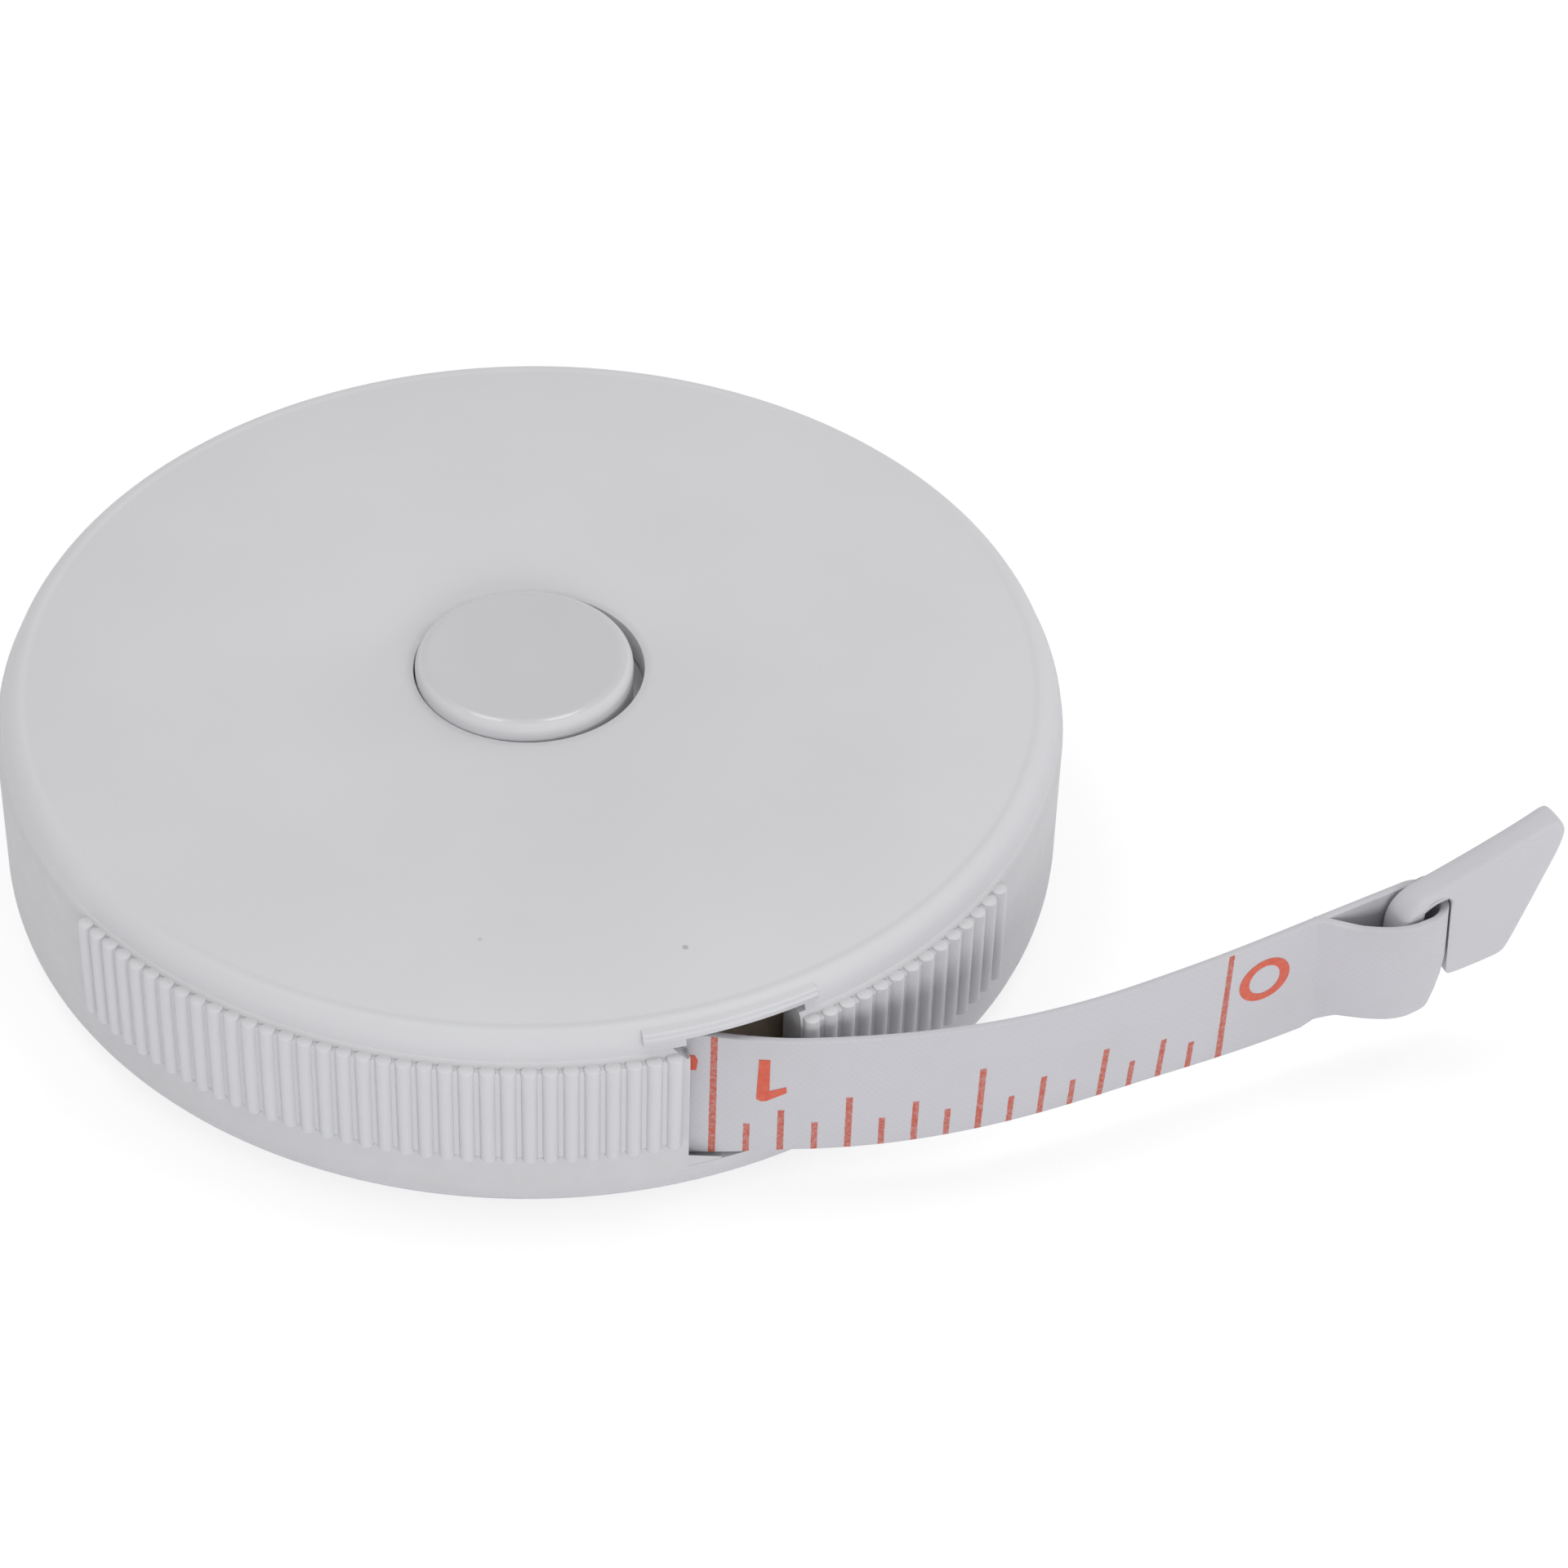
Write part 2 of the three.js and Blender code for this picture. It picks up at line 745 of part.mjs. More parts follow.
const tapeLead = () => {
  const half = tapeThickness / 2;
  const curve = Array.from({ length: curlSteps + 1 }, (_, i) => exitRun + (curlRun * i) / curlSteps);
  const tailEnd = tailRun - loopReach;
  const tail = Array.from(
    { length: tailSteps },
    (_, i) => exitRun + curlRun + (tailEnd * (i + 1)) / (tailSteps + 1),
  );
  const line = [...curve, ...tail];
  const frontRise = 2 * bendFace;
  const rampLength = loopReach - loopShoulder;
  const ramp = (share, side) => {
    const height = frontRise * share ** 2 * (3 - 2 * share);
    const slope = Math.atan((frontRise * 6 * share * (1 - share)) / rampLength);
    const run = bendRun - loopReach + rampLength * share;
    const x = run - side * half * Math.sin(slope);
    return new THREE.Vector2(x, height + side * half * Math.cos(slope));
  };
  const bend = (radius, count, reversed) => {
    const points = Array.from({ length: count + 1 }, (_, i) => {
      const angle = (i * Math.PI) / count;
      const x = bendRun + radius * Math.sin(angle);
      return new THREE.Vector2(x, bendFace - radius * Math.cos(angle));
    });
    return reversed ? points.reverse() : points;
  };
  const shares = Array.from({ length: loopSteps + 1 }, (_, i) => i / loopSteps);
  const outline = [
    new THREE.Vector2(0, -half),
    ...line.map((run) => new THREE.Vector2(run, -half)),
    ...bend(bendOuter, loopSteps, false),
    ...shares.map((share) => ramp(1 - share, 1)),
    ...line.map((run) => new THREE.Vector2(run, half)).reverse(),
    new THREE.Vector2(0, half),
  ].map(({ x, y }) => besideTape(x, y));
  const inside = shares.filter((share) => share > loopOpenShare).map((share) => ramp(share, -1));
  const opening = [
    new THREE.Vector2(inside[0].x - tapeThickness, half),
    ...inside,
    ...bend(loopBend, loopSteps, true),
  ].map(({ x, y }) => besideTape(x, y));
  const shape = new THREE.Shape(outline);
  shape.holes.push(new THREE.Path(opening));
  return settled(cut(raised(shape, tapeBottom, tapeTop), trimCutter()));
};

// The tab is drawn with x along it and y up, from the middle of the round bar that hooks the loop.
// Below its bridge all is cut away between the plate and the bar's place, then the bar goes in.
const pullTab = () => {
  const half = tabThickness / 2;
  const slotTop = tapeWidth / 2 + fitGap;
  const plateStart = barBack + bendOuter + runGap;
  const noseRound = tabNose - slotTop + bite;
  const endSlant = (tabReach - tabHeel) / (tabTip + tabDrop);
  const shape = new THREE.Shape();
  shape.moveTo(-barRadius, -tabDrop);
  shape.lineTo(tabHeel - tabHeelRound, -tabDrop);
  shape.quadraticCurveTo(
    tabHeel,
    -tabDrop,
    tabHeel + tabHeelRound * endSlant,
    tabHeelRound - tabDrop,
  );
  shape.lineTo(tabReach - tabTipRound * endSlant, tabTip - tabTipRound);
  shape.quadraticCurveTo(tabReach, tabTip, tabReach - tabTipRound, tabTip - tabSlope * tabTipRound);
  shape.lineTo(-barRadius + noseRound, tabNose);
  shape.quadraticCurveTo(-barRadius, tabNose, -barRadius, tabNose - noseRound);
  const plate = new THREE.ExtrudeGeometry(shape, {
    depth: tabThickness - 2 * tabBevel,
    bevelThickness: tabBevel,
    bevelSize: tabBevel,
    bevelOffset: -tabBevel,
    bevelSegments: 2,
    curveSegments: tabSteps,
  }).translate(0, 0, tabBevel - half);
  const slotBottom = -tabDrop - overrun;
  const slotStart = -barRadius - overrun;
  const slot = block(
    plateStart - slotStart,
    slotTop - slotBottom,
    tabThickness + overrun,
    (plateStart + slotStart) / 2,
    (slotTop + slotBottom) / 2,
    0,
  );
  const barTop = slotTop + fitGap / 2;
  const bar = new THREE.CylinderGeometry(barRadius, barRadius, barTop + barDrop, barSteps)
    .translate(0, (barTop - barDrop) / 2, 0);
  return join(cut(plate, slot), bar);
};

const plastic = { color: 0xcdcdd0, roughness: 0.5, metalness: 0 };
const cloth = { color: 0xc9cad0, roughness: 0.7, metalness: 0 };
const steel = { color: 0xb8bcc2, roughness: 0.35, metalness: 1 };
const rubber = { color: 0x2b2a2a, roughness: 0.9, metalness: 0 };
const nylon = { color: 0x8f8375, roughness: 0.6, metalness: 0 };

const named = (name, geometry, finish) => {
  const mesh = new THREE.Mesh(geometry, new THREE.MeshStandardMaterial(finish));
  mesh.name = name;
  return mesh;
};

const tapeMeasure = new THREE.Group();

const linerInner = coilOuter - linerWidth;
tapeMeasure.add(
  named("lower_shell", lowerShell(), plastic),
  named("upper_shell", upperShell(), plastic),
  named("lower_liner", ring(linerInner, coilOuter, caseFloor, linerTop, reelSteps), nylon),
  named(
    "upper_liner",
    ring(linerInner, coilOuter, capUnder - linerThickness, capUnder, reelSteps),
    nylon,
  ),
  named("spring_arbor", springArbor(), steel),
  named("arbor_clip", arborClip(), steel),
  named("brake_pin", brakePin(), steel),
);

tapeMeasure.add(
  named("reel_drum", reelDrum(), nylon),
  named("drum_lid", ring(arborRadius + runGap, lidRadius, lidBottom, lidTop, reelSteps), nylon),
  named("mainspring", mainspring(), steel),
  named("tape_coil", ring(coilInner, coilOuter, tapeBottom, tapeTop, reelSteps), cloth),
  named("tape_anchor", tapeAnchor(), nylon),
  named("brake_ring", ring(ringInner, ringOuter, lidTop, ringTop, reelSteps), rubber),
);

tapeMeasure.add(
  named("brake_lever", brakeLever(), nylon),
  named("brake_pad", brakePad(), rubber),
  named("brake_spring", brakeSpring(), steel),
);

tapeMeasure.add(
  named("push_button", pushButton(), plastic),
  named("button_spring", buttonSpring(), steel),
);

tapeMeasure.add(named("tape_lead", tapeLead(), cloth));

// The tab hangs in the loop, its bar along the fold, leaning and tipped up with the tape's end.
const barPlace = besideTape(bendRun - barBack, bendFace);
const barHeight = tapeMiddle + riseAt(reachOf(barPlace.x, barPlace.y));
const heading = new THREE.Vector3(Math.cos(endHeading), Math.sin(endHeading), 0);
const front = new THREE.Vector3(Math.sin(endHeading), -Math.cos(endHeading), 0);
const along = heading.clone().multiplyScalar(Math.cos(tapePitch * degree));
along.z = Math.sin(tapePitch * degree);
const upright = new THREE.Vector3().crossVectors(front, along);
const up = upright.multiplyScalar(Math.cos(tapeLean * degree));
up.addScaledVector(front, Math.sin(tapeLean * degree));
const across = new THREE.Vector3().crossVectors(along, up);
const tab = named("pull_tab", pullTab(), plastic);
tab.position.set(barPlace.x, barPlace.y, barHeight);
tab.setRotationFromMatrix(new THREE.Matrix4().makeBasis(along, up, across));
tapeMeasure.add(tab);

export default tapeMeasure;
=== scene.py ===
# %% [markdown]
# # A round push-button tape measure
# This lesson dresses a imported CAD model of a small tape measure. The CAD gives every place and size.
# Blender adds what the eye wants: rounded mouldings, fine ribs, a folded cloth tape with its printed
# scale, and materials. It starts by loading the CAD model and keeping its box, because the finished
# object has to stay inside that box.

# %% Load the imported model
import math

import bpy
from mathutils import Matrix, Vector


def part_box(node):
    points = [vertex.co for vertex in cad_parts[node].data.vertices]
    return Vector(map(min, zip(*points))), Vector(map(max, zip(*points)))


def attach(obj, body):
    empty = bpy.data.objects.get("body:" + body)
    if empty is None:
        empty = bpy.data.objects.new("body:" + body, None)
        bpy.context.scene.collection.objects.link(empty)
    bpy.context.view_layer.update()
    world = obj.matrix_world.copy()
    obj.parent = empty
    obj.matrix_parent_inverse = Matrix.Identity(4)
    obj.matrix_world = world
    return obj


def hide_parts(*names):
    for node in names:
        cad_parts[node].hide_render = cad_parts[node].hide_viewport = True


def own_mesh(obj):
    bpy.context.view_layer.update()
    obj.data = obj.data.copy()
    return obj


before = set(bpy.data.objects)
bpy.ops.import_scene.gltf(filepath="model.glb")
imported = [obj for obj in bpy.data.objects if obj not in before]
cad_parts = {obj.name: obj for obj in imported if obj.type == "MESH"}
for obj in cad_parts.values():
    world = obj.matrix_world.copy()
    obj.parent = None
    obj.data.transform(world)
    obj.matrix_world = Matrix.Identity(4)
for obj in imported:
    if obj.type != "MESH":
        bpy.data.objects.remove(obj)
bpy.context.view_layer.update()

# %% [markdown]
# The camera comes first. The photograph was taken from 41 degrees above, close to the object and off
# to one side, so the lens is shifted. A shift keeps the perspective of the real view, where turning
# the camera would change it.

# %% The camera
mm = 0.001
degree = math.pi / 180

camera_elevation = 41.1 * degree
camera_roll = 0.64 * degree
camera_distance = 235
looked_at = Vector((0, 0, 5.75 * mm))
across_view = Vector((1, 0, 0))
up_view = Vector((0, math.sin(camera_elevation), math.cos(camera_elevation)))
towards_viewer = Vector((0, -math.cos(camera_elevation), math.sin(camera_elevation)))
right = math.cos(camera_roll) * across_view - math.sin(camera_roll) * up_view
up = math.sin(camera_roll) * across_view + math.cos(camera_roll) * up_view

bpy.ops.object.camera_add()
camera = bpy.context.object
camera.name = "studio_camera"
turn = Matrix((right, up, towards_viewer)).transposed().to_4x4()
camera.matrix_world = Matrix.Translation(looked_at + camera_distance * mm * towards_viewer) @ turn
camera.data.lens = 106.7
camera.data.sensor_width = 36
camera.data.shift_x = 0.162
camera.data.shift_y = -0.0175
camera.data.clip_start = 10 * mm
bpy.context.scene.camera = camera
print("camera at", [round(1000 * side, 1) for side in camera.location], "mm")

# %% [markdown]
# The case, its cap and its button are all turned shapes. On a lathe, a turner cuts a profile. Here the
# profile is drawn as a line, one extruded point after another, and spun about the case's centre line.
# A cylinder would need many insets for the same steps, so the drawn profile is the shorter way.

# %% Draw and spin a profile
def start_line(name, place):
    bpy.ops.object.select_all(action="DESELECT")
    bpy.ops.mesh.primitive_plane_add(size=mm)
    bpy.context.object.name = name
    bpy.ops.object.mode_set(mode="EDIT")
    bpy.ops.mesh.select_mode(type="VERT")
    bpy.ops.mesh.select_all(action="SELECT")
    bpy.ops.mesh.merge(type="CENTER")
    bpy.ops.transform.translate(value=Vector(place) * mm)


def extrude(step):
    bpy.ops.mesh.extrude_region_move(TRANSFORM_OT_translate={"value": Vector(step) * mm})


def draw_line(points):
    for here, there in zip(points, points[1:]):
        extrude(Vector(there) - Vector(here))


def close_with_face():
    bpy.ops.mesh.select_all(action="SELECT")
    bpy.ops.mesh.edge_face_add()


def tidy_mesh():
    bpy.ops.mesh.select_all(action="SELECT")
    bpy.ops.mesh.remove_doubles(threshold=0.001 * mm)
    bpy.ops.mesh.normals_make_consistent(inside=False)
    bpy.ops.object.mode_set(mode="OBJECT")
    return bpy.context.object


def turned_piece(name, profile, steps):
    points = [(radius, 0, height) for radius, height in profile]
    start_line(name, points[0])
    draw_line(points)
    if points[0][0] > 0:
        close_with_face()
        bpy.ops.mesh.delete(type="ONLY_FACE")
    bpy.ops.mesh.select_all(action="SELECT")
    bpy.ops.mesh.spin(steps=steps, angle=2 * math.pi, center=(0, 0, 0), axis=(0, 0, 1))
    piece = tidy_mesh()
    print(name, "has", len(piece.data.polygons), "faces")
    return piece


# %% Rounded corners of a profile, from one angle to another
def arc(centre_radius, centre_height, size, first, last, steps):
    angles = [(first + (last - first) * i / steps) * degree for i in range(steps + 1)]
    return [
        (centre_radius + size * math.cos(angle), centre_height + size * math.sin(angle))
        for angle in angles
    ]


# %% [markdown]
# The lower shell is a cup with a round foot. Its wall draws in a little under the cap. The floor
# carries a short boss that holds the arbor. Underneath, the base is hollowed by a tenth of a
# millimetre inside its rim, so that the case stands on the rim, as mouldings do.

# %% The cup of the case
case_radius = 26.6
foot_round = 2.4
wall_top = 10.2
wall_inner = 25.0
floor_top = 1.0
floor_round = 1.4
boss_radius = 3.0
boss_top = 2.1
bore_radius = 2.2
bore_floor = 0.5
base_hollow = 0.12
case_steps = 192
cup_profile = [
    (0, base_hollow),
    (20.6, base_hollow),
    (20.9, 0),
    *arc(case_radius - foot_round, foot_round, foot_round, -90, 0, 12),
    (case_radius, 9.3),
    (26.5, 9.9),
    (26.38, wall_top - 0.05),
    (26.33, wall_top),
    (wall_inner + 0.1, wall_top),
    (wall_inner, wall_top - 0.1),
    (wall_inner, floor_top + floor_round),
    *arc(wall_inner - floor_round, floor_top + floor_round, floor_round, 0, -90, 6),
    (boss_radius, floor_top),
    (boss_radius, 2.0),
    (2.9, boss_top),
    (bore_radius, boss_top),
    (bore_radius, bore_floor),
    (0, bore_floor),
]
case_cup = turned_piece("case_cup", cup_profile, case_steps)

# %% [markdown]
# The tape leaves through a window in the wall. Its near side runs along the leaving tape and its far
# side points at the middle of the case. A cutter is drawn in plan, extruded upwards and taken away
# with a Boolean modifier. Cutting by hand with a knife needs a window on the screen, so the
# Boolean is the way that a script can take.

# %% Angles round the case, from the front
def around(radius, angle, height=0):
    turn_angle = angle * degree
    return Vector((radius * math.sin(turn_angle), -radius * math.cos(turn_angle), height))


leave_angle = -4.6 * degree
exit_radius = 23.8
exit_start = Vector((math.sin(leave_angle), -math.cos(leave_angle), 0)) * exit_radius
window_start = 15.5
window_end = 27.8


def along_exit(run, outwards):
    forward = Vector((math.cos(leave_angle), math.sin(leave_angle), 0))
    return exit_start + run * forward + outwards * Vector((forward.y, -forward.x, 0))


# %% Cutters and the Boolean
def raised_outline(name, points, bottom, top):
    points = [Vector((point.x, point.y, bottom)) for point in points]
    start_line(name, points[0])
    draw_line(points)
    close_with_face()
    extrude((0, 0, top - bottom))
    return tidy_mesh()


def select_only(piece):
    bpy.ops.object.select_all(action="DESELECT")
    piece.select_set(True)
    bpy.context.view_layer.objects.active = piece


def fix_place():
    bpy.ops.object.transform_apply(location=True, rotation=True, scale=True)


def apply_modifiers(piece):
    select_only(piece)
    for modifier in list(piece.modifiers):
        bpy.ops.object.modifier_apply(modifier=modifier.name)
    return piece


def cut_away(piece, cutter):
    boolean = piece.modifiers.new("cut", "BOOLEAN")
    boolean.object = cutter
    boolean.solver = "EXACT"
    apply_modifiers(piece)
    bpy.data.objects.remove(cutter)
    print(piece.name, "after its cut:", len(piece.data.polygons), "faces")


# %% Cut the window and the bevel of its upper corner
front_line = 0.5
sill_height = 2.5
past_wall = 28.5
inside_wall = 22
above_wall = 12
window_corner = around(case_radius, window_start)
corner_run = (window_corner.x - exit_start.x) / math.cos(leave_angle)
window_outline = [
    along_exit(0, front_line),
    along_exit(corner_run, front_line),
    around(past_wall, window_start),
    around(past_wall, window_end),
    around(inside_wall, window_end),
]
cut_away(case_cup, raised_outline("window_cutter", window_outline, sill_height, above_wall))

bevel_side = 0.95
bevel_length = 3.4
bpy.ops.object.select_all(action="DESELECT")
bpy.ops.mesh.primitive_cube_add(size=1)
corner_cutter = bpy.context.object
corner_cutter.scale = Vector((bevel_side, bevel_length, bevel_side)) * mm
corner_cutter.rotation_euler = (0, 45 * degree, 0)
corner_cutter.location = (0, -case_radius * mm, wall_top * mm)
fix_place()
corner_cutter.rotation_euler = (0, 0, window_start * degree)
fix_place()
cut_away(case_cup, corner_cutter)

# %% [markdown]
# In front of the leaving tape the sill of the window rises towards the outer face of the wall. This
# small wedge has the tape's front face as one side and the wall's curve as the other, and its top
# slopes up from the tape.

# %% The raised edge of the sill
sill_radius = case_radius - 0.02
sill_bottom = 2.2
sill_back_height = 2.6
sill_slope = 0.97
sill_steps = 5
sill_run = math.sqrt(sill_radius**2 - (exit_radius + front_line) ** 2)
sill_end = math.degrees(leave_angle + math.atan2(sill_run, exit_radius + front_line))
sill_sweep = window_start - 1 - sill_end
sill_outline = [along_exit(corner_run - 0.6, front_line), along_exit(sill_run, front_line)]
for i in range(1, sill_steps + 1):
    sill_outline.append(around(sill_radius, sill_end + sill_sweep * i / sill_steps))
sill_edge = raised_outline("sill_edge", sill_outline, sill_bottom, 3)
for corner in sill_edge.data.vertices:
    if corner.co.z > sill_height * mm:
        outwards = (corner.co / mm - exit_start).dot(exit_start.normalized())
        corner.co.z = (sill_back_height + sill_slope * (outwards - front_line)) * mm
sill_edge.data.update()
print("the sill rises to", round(1000 * max(corner.co.z for corner in sill_edge.data.vertices), 2), "mm")

# %% [markdown]
# Fine ribs give grip round the side. Each is a slim rounded ridge that stands half a millimetre
# out. One is shaped from a cylinder, sunk in the wall, and its two rims are bevelled. The spin
# operator then copies it round the wall, once for each zone, where separate objects would be
# harder to handle. With no window, spin turns clockwise about an axis that points up, so here it
# points down.

# %% One rib, copied round each zone
rib_pitch = 360 / 172
rib_bottom = 4.25
rib_top = 9.98
rib_radius = 0.4
rib_height = 0.5
rib_zones = [(-53.2, 15.07), (window_end, 57.5), (142.0, 218.0)]


def shape_rib(name):
    bpy.ops.object.select_all(action="DESELECT")
    middle = (0, -(case_radius + rib_height - rib_radius) * mm, (rib_bottom + rib_top) / 2 * mm)
    length = (rib_top - rib_bottom) * mm
    bpy.ops.mesh.primitive_cylinder_add(
        vertices=16, radius=rib_radius * mm, depth=length, location=middle
    )
    bpy.context.object.name = name
    bpy.ops.object.transform_apply(location=True)
    bpy.ops.object.mode_set(mode="EDIT")
    bpy.ops.mesh.select_mode(type="FACE")
    bpy.ops.mesh.select_all(action="DESELECT")
    bpy.ops.object.mode_set(mode="OBJECT")
    for face in bpy.context.object.data.polygons:
        face.select = abs(face.normal.z) > 0.9
    bpy.ops.object.mode_set(mode="EDIT")
    bpy.ops.mesh.bevel(offset=0.1 * mm, segments=2, affect="EDGES")


def rib_zone(name, start, end):
    shape_rib(name)
    count = round((end - start) / rib_pitch)
    pitch = (end - start) / count
    bpy.ops.mesh.select_all(action="SELECT")
    first = (start + pitch / 2) * degree
    bpy.ops.transform.rotate(value=-first, orient_axis="Z", center_override=(0, 0, 0))
    bpy.ops.mesh.spin(
        steps=count - 1, dupli=True, angle=(count - 1) * pitch * degree, center=(0, 0, 0), axis=(0, 0, -1)
    )
    zone = tidy_mesh()
    print(name, "has", count, "ribs,", len(zone.data.polygons), "faces")
    return zone


ribs = [rib_zone(f"grip_ribs_{i}", start, end) for i, (start, end) in enumerate(rib_zones)]


# %% Pads between the ribs, and all of it joined into one piece
def arc_piece(name, profile, start, end, steps):
    points = [around(radius, start, height) for radius, height in profile]
    start_line(name, points[0])
    draw_line(points)
    close_with_face()
    bpy.ops.mesh.spin(steps=steps, angle=(end - start) * degree, center=(0, 0, 0), axis=(0, 0, -1))
    return tidy_mesh()


def join_pieces(name, pieces):
    bpy.ops.object.select_all(action="DESELECT")
    for piece in pieces:
        piece.select_set(True)
    bpy.context.view_layer.objects.active = pieces[0]
    bpy.ops.object.join()
    joined = bpy.context.object
    joined.name = name
    return joined


pad_profile = [(26.3, 4.4), (26.76, 4.4), (26.84, 4.5), (26.84, 9.72), (26.76, 9.84), (26.3, 9.84)]
pad_margin = 0.4
pad_step = 1.5
pads = [
    arc_piece(
        f"rib_pad_{start:.0f}", pad_profile, start + pad_margin, end - pad_margin,
        round((end - start) / pad_step),
    )
    for start, end in rib_zones
]
grip_ribs = join_pieces("grip_ribs", [*ribs, *pads])
low_rib = min(corner.co.z for corner in grip_ribs.data.vertices)
print("ribs stand from", round(1000 * low_rib, 2), "mm up")

# %% [markdown]
# The cap is a disc with a flat middle. From 19.7 mm out it slopes down very slightly, and at its rim a
# fine crease leads into a rounded bead. That slope is hard to see, but it makes the far side of the
# top a little darker and the near side a little lighter.

# %% The cap with its bead
cap_height = 11.7
cap_under = 10.3
hole_radius = 5.75
cap_profile = [
    (hole_radius, cap_under),
    (hole_radius, cap_height - 0.05),
    *arc(hole_radius + 0.05, cap_height - 0.05, 0.05, 150, 90, 2),
    (19.4, cap_height),
    (20.0, cap_height - 0.015),
    (24.8, 11.43),
    (24.95, 11.395),
    (25.08, 11.38),
    (25.2, 11.4),
    (25.36, 11.41),
    (25.58, 11.35),
    (25.8, 11.21),
    (25.99, 11.02),
    (26.12, 10.8),
    (26.22, 10.55),
    (26.3, 10.3),
    (26.33, 10.2),
    (25.9, 10.2),
    (25.9, cap_under),
]
cap_shell = turned_piece("cap_shell", cap_profile, case_steps)

# %% The lip over the window, with two fine steps
foot_profile = [(25.6, 10), (27.5, 10), (27.5, 10.62), (25.6, 10.62)]
cut_away(cap_shell, arc_piece("foot_cutter", foot_profile, window_start, window_end + 0.8, 12))

lip_profile = [
    (25.2, 10.65),
    (26.32, 10.65),
    (26.4, 10.7),
    (26.4, 10.92),
    (26.27, 10.99),
    (26.25, 11.12),
    (26.15, 11.2),
    (25.2, 11.25),
]
lip_start, lip_end = 11, 30
cap_lip = arc_piece("cap_lip", lip_profile, lip_start, lip_end, 24)
skirt_profile = [(24.0, 9.0), (24.7, 9.0), (24.7, 10.45), (24.0, 10.45)]
skirt_start, skirt_end = 34, 340
cap_skirt = arc_piece("cap_skirt", skirt_profile, skirt_start, skirt_end, 96)
print("lip and skirt:", len(cap_lip.data.polygons), len(cap_skirt.data.polygons), "faces")

# %% [markdown]
# Under the cap hang the parts that hold it: a skirt that fits inside the wall, four snap lugs on it,
# and two ears that carry the brake's pin. They start as cubes. Each is scaled, its edges are bevelled,
# and the ears are drilled with a Boolean. Seen from outside they are hidden, but they show when the
# parts are taken apart.

# %% Blocks with bevelled edges
def block(name, size, place, edge, angle=0):
    bpy.ops.object.select_all(action="DESELECT")
    bpy.ops.mesh.primitive_cube_add(size=1)
    piece = bpy.context.object
    piece.name = name
    piece.scale = Vector(size) * mm
    piece.location = Vector(place) * mm
    fix_place()
    bpy.ops.object.mode_set(mode="EDIT")
    bpy.ops.mesh.select_all(action="SELECT")
    bpy.ops.mesh.bevel(offset=edge * mm, segments=2, affect="EDGES")
    bpy.ops.object.mode_set(mode="OBJECT")
    piece.rotation_euler = (0, 0, angle * degree)
    fix_place()
    return piece


def bar_along_y(name, radius, length, place):
    bpy.ops.object.select_all(action="DESELECT")
    bpy.ops.mesh.primitive_cylinder_add(vertices=32, radius=radius * mm, depth=length * mm)
    piece = bpy.context.object
    piece.name = name
    piece.rotation_euler = (90 * degree, 0, 0)
    piece.location = Vector(place) * mm
    fix_place()
    return piece


# %% Lugs and ears, joined to the cap, and the sill's edge to the cup
lug_angles = (75, 150, 215, 290)
lug_size = (3, 0.75, 0.5)
lug_height = 9.25
lug_reach = 24.775
pocket_reach = 24.675
pocket_size = (3.4, 1.35, 0.9)
ear_size = (2.2, 0.8, 3.9)
ear_height = 8.65
ear_offset = 3.3
pivot_x = 8.45
pin_height = 7.8
pin_hole_radius = 0.7
lugs = [
    block(f"lug_{angle}", lug_size, (0, -lug_reach, lug_height), 0.08, angle) for angle in lug_angles
]
ears = [
    block(f"ear_{side}", ear_size, (pivot_x, ear_offset * side, ear_height), 0.1) for side in (-1, 1)
]
for ear in ears:
    cut_away(ear, bar_along_y("pin_cutter", pin_hole_radius, 12, (pivot_x, 0, pin_height)))
for angle in lug_angles:
    pocket_cutter = block("pocket_cutter", pocket_size, (0, -pocket_reach, lug_height), 0.05, angle)
    cut_away(case_cup, pocket_cutter)
cap_shell = join_pieces("cap_shell", [cap_shell, cap_lip, cap_skirt, *lugs, *ears])
case_cup = join_pieces("case_cup", [case_cup, sill_edge])
print("cap_shell has", len(cap_shell.data.polygons), "faces")

# %% [markdown]
# The push button is a polished cap of its own. Its top is dished by less than a tenth of a millimetre,
# and its edge is well rounded. Below the case it has a flange that stops it at the top, a spigot for
# its spring, and two lugs that press on the brake's fork. It has play in its hole, and in the
# photograph it lies to the left, so its gap is wide on the right and nearly shut on the left.

# %% The push button
button_top = 12.6
button_radius = 5.44
button_play = Vector((-0.23, -0.17, 0))
edge_round = 0.68
button_profile = [
    (0, 10.6),
    (1.15, 10.6),
    (1.2, 10.65),
    (1.2, 11.3),
    (4.05, 11.3),
    (4.05, 9.2),
    (6.65, 9.2),
    (6.65, 10.0),
    (button_radius, 10.0),
    (button_radius, button_top - edge_round - 0.1),
    *arc(button_radius - edge_round, button_top - edge_round, edge_round, 0, 90, 14),
    (4.5, button_top - 0.01),
    (4.2, button_top - 0.04),
    (2.5, button_top - 0.07),
    (0, button_top - 0.08),
]
button_cap = turned_piece("button_cap", button_profile, 128)
button_lugs = [
    block(f"button_lug_{side}", (1.6, 1.3, 1.0), (0, 5.35 * side, 9.0), 0.08) for side in (-1, 1)
]
push_cap = join_pieces("push_cap", [button_cap, *button_lugs])
push_cap.location = button_play * mm
fix_place()
print("push_cap rises to", round(1000 * max(v.co.z for v in push_cap.data.vertices), 2), "mm")

# %% [markdown]
# The cloth tape stands on its edge. It leaves the case in a straight line, curls, runs straight again
# and folds round the finger tab's bar, back onto itself. Its line is given as a heading at each
# distance run along it, which is how a strip really bends: it can curve, but it can't stretch.

